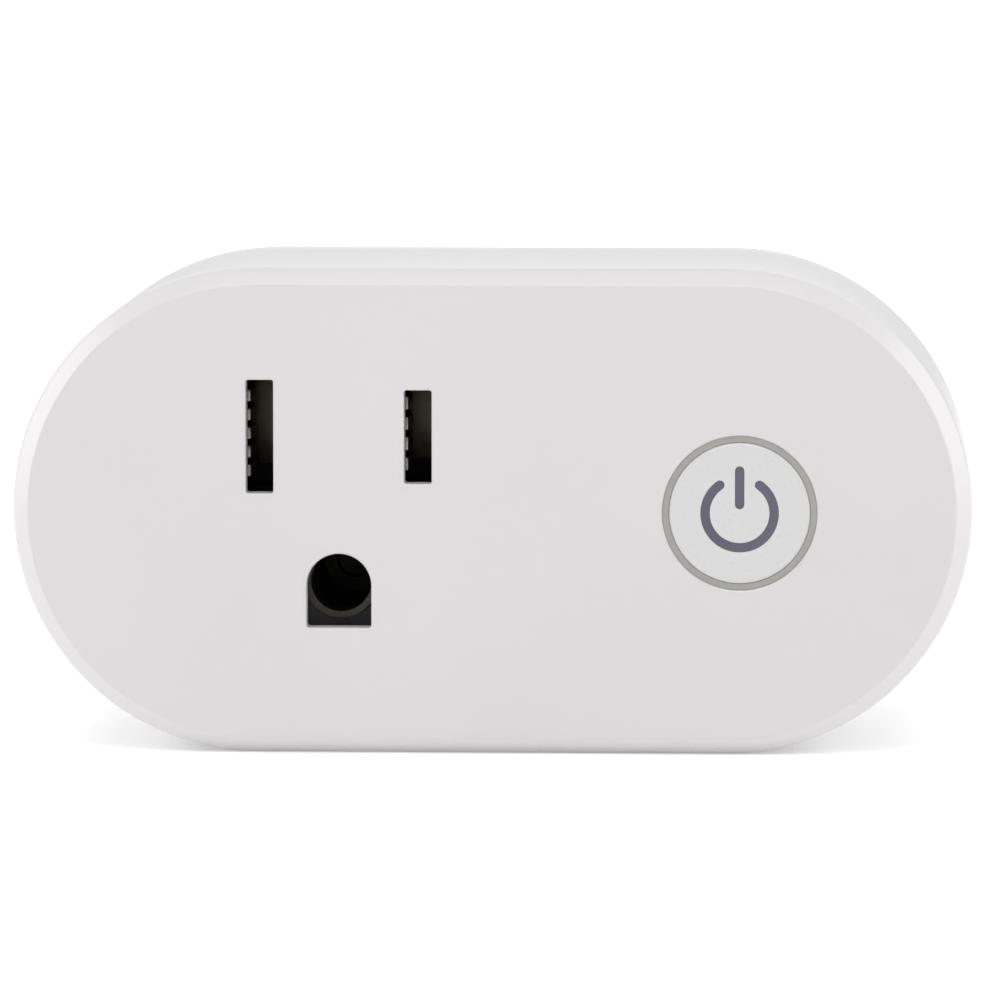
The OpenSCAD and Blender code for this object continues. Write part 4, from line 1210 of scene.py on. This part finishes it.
@dataclass
class OutletContacts(SubAssembly):
    """Contact carrier and the sprung contacts behind the openings."""

    sheet: float = 0.5
    gap: float = 0.85
    mouth: float = 0.98
    mouth_y: float = -21.8
    base_y: float = -6.6
    finger: float = 0.92
    slit: float = 0.6

    def build(self, kit: Workshop) -> None:
        """Makes both blade contacts, split into fingers.

        Args:
            kit: Tools and finishes of the workshop.
        """
        tabs = {"neutral_contact": (OUTLET.neutral_x, 7.6, 0.85, (20.4, 27.0), -1.9),
                "line_contact": (OUTLET.line_x, 6.6, 2.0, (26.8, 30.0), -2.2)}
        for node, (x, height, tab, tab_z, tab_y) in tabs.items():
            shell = Shell(Plane.TOP)
            low, high = OUTLET.slot_z - height / 2, OUTLET.slot_z + height / 2
            count = round(height / (self.finger + self.slit))
            step = height / count
            for side in (-1, 1):
                for i in range(count):
                    shell.solid(self._leaf(x, side), soft_ends(low + i * step + self.slit / 2,
                                                               low + (i + 1) * step - self.slit / 2, 0.08))
                reach = 1.45
                shell.block((x + side * (reach + 0.25) - 0.25, -12.0, low + 0.01),
                            (x + side * (reach + 0.25) + 0.25, self.base_y + 0.2, high - 0.01), 0.08)
            end = max(1.95, tab + self.sheet)
            shell.block((x - 1.95, self.base_y, low), (x + end, self.base_y + self.sheet, high), 0.08)
            shell.block((x + tab, self.base_y + 0.1, tab_z[0]), (x + tab + self.sheet, tab_y, tab_z[1]), 0.08)
            contact = shell.piece(node + "_fingers", kit.wardrobe["contact_brass"])
            # Painted highlight, partly real tin plating: the fingers' mouths get the lighter tinned finish so
            # they show as bright glints in the slots. The rest keeps the darker brass.
            paint_front_shading(contact, kit.wardrobe["tinned"], self.mouth_y + 0.3)
            self.add(contact, "contact_brass", node)

    def _leaf(self, x: float, side: int) -> Outline:
        """Gives the outline of one finger, from its flared mouth to its straight root."""
        path = [(self.mouth, self.mouth_y), (self.gap, self.mouth_y + 3.2), (self.gap, self.mouth_y + 4.6),
                (1.45, self.mouth_y + 7.6), (1.45, -11.0)]
        return strip([(x + side * u, v) for u, v in path], self.sheet, side)

    def kept(self) -> dict[str, str]:
        """Names the carrier's halves and the ground contact."""
        return {"contact_carrier": "carrier_black", "carrier_back": "carrier_black",
                "ground_contact": "ground_bronze_painted_shade", "blade_holder": "carrier_black"}


def softened(node: str, width: float, material: bpy.types.Material) -> bpy.types.Object:
    """Copies a CAD node's shape, merges it and rounds its sharp edges.

    Args:
        node: Name of the CAD node.
        width: Width of the rounding, in millimetres.
        material: Finish of the copy.

    Returns:
        The new piece.
    """
    shell = Shell()
    shell.mesh.from_mesh(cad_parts[node].data)
    bmesh.ops.remove_doubles(shell.mesh, verts=shell.mesh.verts, dist=1e-6)
    bmesh.ops.dissolve_limit(shell.mesh, angle_limit=math.radians(1), verts=shell.mesh.verts,
                             edges=shell.mesh.edges)
    steep = math.radians(50)
    sharp = [e for e in shell.mesh.edges if len(e.link_faces) == 2 and e.calc_face_angle(0.0) > steep]
    bmesh.ops.bevel(shell.mesh, geom=sharp, offset=width * MM, segments=2, profile=0.5, affect="EDGES",
                    clamp_overlap=True)
    return shell.piece(node + "_softened", material, 40.0)


def paint_front_shading(thing: bpy.types.Object, material: bpy.types.Material, before_y: float) -> None:
    """Gives the faces of a piece in front of a depth in millimetres a second finish. It paints light and
    shade: a lighter mouth as painted highlight on the contacts, and a darker end as painted shade on the
    ground pin.
    """
    thing.data.materials.append(material)
    for face in thing.data.polygons:
        if face.center.y < before_y * MM:
            face.material_index = 1


@dataclass
class Relay(SubAssembly):
    """Relay that switches the outlet."""

    wire: float = 0.13

    def build(self, kit: Workshop) -> None:
        """Winds the coil on a sleeve."""
        span = Span.of("relay_coil")
        radius = span.size.x / 2 - self.wire
        wires = kit.winder.wind("relay_coil_wire", span, radius, self.wire, kit.wardrobe["copper"])
        self.add(wires, "copper", "relay_coil")
        sleeve = Shell()
        low, high, inner = span.low.y, span.high.y, 2.45
        outer = radius - self.wire * 0.4
        sleeve.turned_ring(span.mid.x, span.mid.z,
                           [(inner, low), (inner, high), (outer, high), (outer, low)], 64)
        self.add_shell(sleeve, "relay_coil_layers", "copper", kit)
        self.add(softened("relay_case", 0.25, kit.wardrobe["relay_blue"]), "relay_blue", "relay_case")

    def kept(self) -> dict[str, str]:
        """Names the relay's fixed parts."""
        return {"relay_base": "relay_dark", "relay_bobbin": "bobbin_cream", "relay_core": "iron",
                "relay_yoke": "iron", "relay_fixed_contact": "contact_alloy", "relay_pins": "tinned",
                "relay_armature": "iron", "relay_moving_contact": "contact_alloy"}


@dataclass
class PowerBoard(SubAssembly):
    """Main board with the parts of the power supply."""

    wire: float = 0.16
    waist: float = 1.52
    joint: tuple[float, float] = (0.75, 0.85)

    def build(self, kit: Workshop) -> None:
        """Makes the winding, the rounded parts and the solder joints.

        Args:
            kit: Tools and finishes of the workshop.
        """
        span = Span.of("inductor_coil")
        radius = span.size.x / 2 - self.wire
        wires = kit.winder.wind("choke_wire", span, radius, self.wire, kit.wardrobe["copper"])
        self.add(wires, "copper", "inductor_coil")
        sleeve = Shell()
        sleeve.turned_ring(span.mid.x, span.mid.z, [
            (self.waist, span.low.y), (self.waist, span.high.y),
            (radius - self.wire * 0.4, span.high.y), (radius - self.wire * 0.4, span.low.y)], 64)
        self.add_shell(sleeve, "choke_layers", "copper", kit)
        rounded = (("film_capacitor", "film_yellow", 0.5), ("fuse", "fuse_brown", 0.35),
                   ("varistor", "varistor_blue", 0.6), ("bridge_rectifier", "chip_black", 0.12),
                   ("power_chip", "chip_black", 0.1), ("input_capacitor", "can_black", 0.2),
                   ("output_capacitor", "can_blue", 0.2), ("inductor_core", "ferrite", 0.12))
        for node, slot, width in rounded:
            self.add(softened(node, width, kit.wardrobe[slot]), slot, node)
        self.add(self._joints(kit), "tinned")

    def _joints(self, kit: Workshop) -> bpy.types.Object:
        """Sets a solder joint round every lead behind the main board.

        Args:
            kit: Tools and finishes of the workshop.

        Returns:
            All joints as one piece.
        """
        radius, height = self.joint
        joint = Shell()
        joint.lathe(0, 0, [(radius, 0.0), (radius * 0.62, height * 0.3), (radius * 0.46, height * 0.7),
                           (radius * 0.3, height)], 16)
        pitches = {"input_capacitor": 3.5, "output_capacitor": 2.5, "film_capacitor": 10.0, "varistor": 5.0,
                   "fuse": 5.08, "inductor_core": 3.0}
        back = Span.of("main_board").high.y + 0.01
        places = []
        for node, pitch in pitches.items():
            middle = Span.of(node).mid
            places += [(middle.x + side * pitch / 2, back, middle.z) for side in (-1, 1)]
        header = Span.of("board_header")
        places += [(header.mid.x + 2.0 * (i - 2.5), back, header.mid.z) for i in range(6)]
        return kit.repeater.lay(joint, places, "solder_joints", kit.wardrobe["tinned"])

    def kept(self) -> dict[str, str]:
        """Names the board and its flat parts."""
        return {"main_board": "board_green", "insulation_sheet": "sheet_amber", "chip_parts": "chip_tan",
                "board_header": "carrier_black"}


@dataclass
class ControlBoard(SubAssembly):
    """Board behind the button, with the radio module, lamps and tact switch."""

    def build(self, kit: Workshop) -> None:
        """Rounds the switch's housing and the shield."""
        rounded = (("switch_base", "chip_black", 0.15), ("radio_shield", "shield_steel", 0.12))
        for node, slot, width in rounded:
            self.add(softened(node, width, kit.wardrobe[slot]), slot, node)

    def kept(self) -> dict[str, str]:
        """Names the boards and the parts on them."""
        return {"control_board": "board_green", "radio_board": "radio_blue", "radio_antenna": "contact_brass",
                "switch_cover": "shield_steel", "switch_plunger": "plunger_cream",
                "switch_dome": "shield_steel", "switch_terminals": "tinned", "status_leds": "led_clear"}


@dataclass
class Leads(SubAssembly):
    """Insulated leads between the outlet and the main board."""

    def kept(self) -> dict[str, str]:
        """Names the three leads."""
        return {"line_lead": "wire_black", "load_lead": "wire_red", "neutral_lead": "wire_white"}


# ---------------------------------------------------------------- studio

@dataclass(frozen=True)
class Softbox:
    """Square area light that looks at the plug; lengths are metres."""

    name: str
    place: tuple[float, float, float]
    size: float
    power: float
    colour: Colour = (1.0, 1.0, 1.0)

    def hang(self, aim: Vector) -> None:
        """Makes the light and turns it to its aim."""
        data = bpy.data.lights.new(self.name, "AREA")
        data.size, data.energy, data.color = self.size, self.power, self.colour
        lamp = bpy.data.objects.new(self.name, data)
        bpy.context.scene.collection.objects.link(lamp)
        lamp.location = Vector(self.place)
        lamp.rotation_euler = (aim - lamp.location).to_track_quat("-Z", "Y").to_euler()


@dataclass
class Studio:
    """Pale floor, soft light and the camera in front of the plug."""

    distance: float = 0.650
    pitch: float = 5.3
    yaw: float = 2.6
    lens: float = 292.5
    aim_shift: tuple[float, float] = (0.00074, 0.0010)
    floor_half: float = 3.0
    glow_band: tuple[float, float] = (0.15, 0.8)
    glow: tuple[float, float] = (0.22, 0.55)
    surround: float = 0.5
    lights: tuple[Softbox, ...] = (
        Softbox("light_above", (0.0, -0.5, 1.0), 0.9, 6.2),
        Softbox("light_left", (-0.9, 0.0, 0.38), 0.75, 4.2),
        Softbox("light_right", (0.9, 0.0, 0.38), 0.75, 4.2),
        Softbox("panel_behind", (0.0, 1.2, 0.72), 1.2, 2.6),
    )

    def build(self) -> None:
        """Makes the camera, the world, the floor and the lights."""
        span = Span.of("front_cover")
        face = Vector((span.mid.x, span.low.y, span.mid.z)) * MM
        self._camera(face)
        scene = bpy.context.scene
        scene.view_settings.view_transform = "Standard"
        scene.view_settings.look = "None"
        world = bpy.data.worlds.new("studio_surround")
        world.use_nodes = True
        tree = world.node_tree
        background = tree.nodes["Background"]
        background.inputs["Color"].default_value = (1.0, 1.0, 1.0, 1.0)
        seen, strength = tree.nodes.new("ShaderNodeLightPath"), tree.nodes.new("ShaderNodeMapRange")
        strength.inputs["To Min"].default_value = self.surround
        strength.inputs["To Max"].default_value = 1.0
        tree.links.new(seen.outputs["Is Camera Ray"], strength.inputs["Value"])
        tree.links.new(strength.outputs["Result"], background.inputs["Strength"])
        scene.world = world
        self._floor()
        for light in self.lights:
            light.hang(face)

    def _camera(self, face: Vector) -> None:
        """Sets the camera a little above and to the right of the face's middle."""
        pitch, yaw = math.radians(self.pitch), math.radians(self.yaw)
        away = Vector((math.sin(yaw) * math.cos(pitch), -math.cos(yaw) * math.cos(pitch), math.sin(pitch)))
        data = bpy.data.cameras.new("camera")
        data.lens, data.sensor_width, data.clip_start = self.lens, 36.0, 0.01
        camera = bpy.data.objects.new("camera", data)
        bpy.context.scene.collection.objects.link(camera)
        camera.location = face + away * self.distance
        aim = face + Vector((self.aim_shift[0], 0.0, self.aim_shift[1]))
        camera.rotation_euler = (aim - camera.location).to_track_quat("-Z", "Y").to_euler()
        bpy.context.scene.camera = camera

    def _floor(self) -> None:
        """Lays a pale floor under the plug that glows as painted light, weakly near the plug and more
        strongly away from it.
        """
        half, drop = self.floor_half, -0.00002
        data = bpy.data.meshes.new("floor")
        data.from_pydata([(-half, -half, drop), (half, -half, drop), (half, half, drop), (-half, half, drop)],
                         [], [(0, 1, 2, 3)])
        paper = Finish("floor_paper", (0.93, 0.93, 0.93), (0.92, 0.92, 0.92), 0.8,
                       grain=0.002, patch=0.2).build()
        graph = Graph(paper.node_tree)
        # Painted light: the floor's emission rises with the distance from the plug.
        graph.shader.inputs["Emission Color"].default_value = (1.0, 1.0, 1.0, 1.0)
        glow = graph.ranged(graph.reach(), *self.glow_band, *self.glow)
        graph.link(glow, graph.shader.inputs["Emission Strength"])
        data.materials.append(paper)
        floor = bpy.data.objects.new("floor", data)
        bpy.context.scene.collection.objects.link(floor)


# ---------------------------------------------------------------- making


def main() -> None:
    """Builds and dresses the plug, then its studio."""
    logging.basicConfig(level=logging.INFO, format="%(name)s: %(message)s")
    Studio().build()
    kit = Workshop(Wardrobe(), Repeater(), Winder())
    parts: list[SubAssembly] = [FrontShell(), RearShell(), PowerButton(), LightRing(), OutletContacts(),
                                Blades(), Fasteners(), Relay(), PowerBoard(), ControlBoard(), Leads()]
    for part in parts:
        part.build(kit)
        part.dress(kit)
        log.info("%s done", type(part).__name__)


if __name__ == "__main__":
    main()
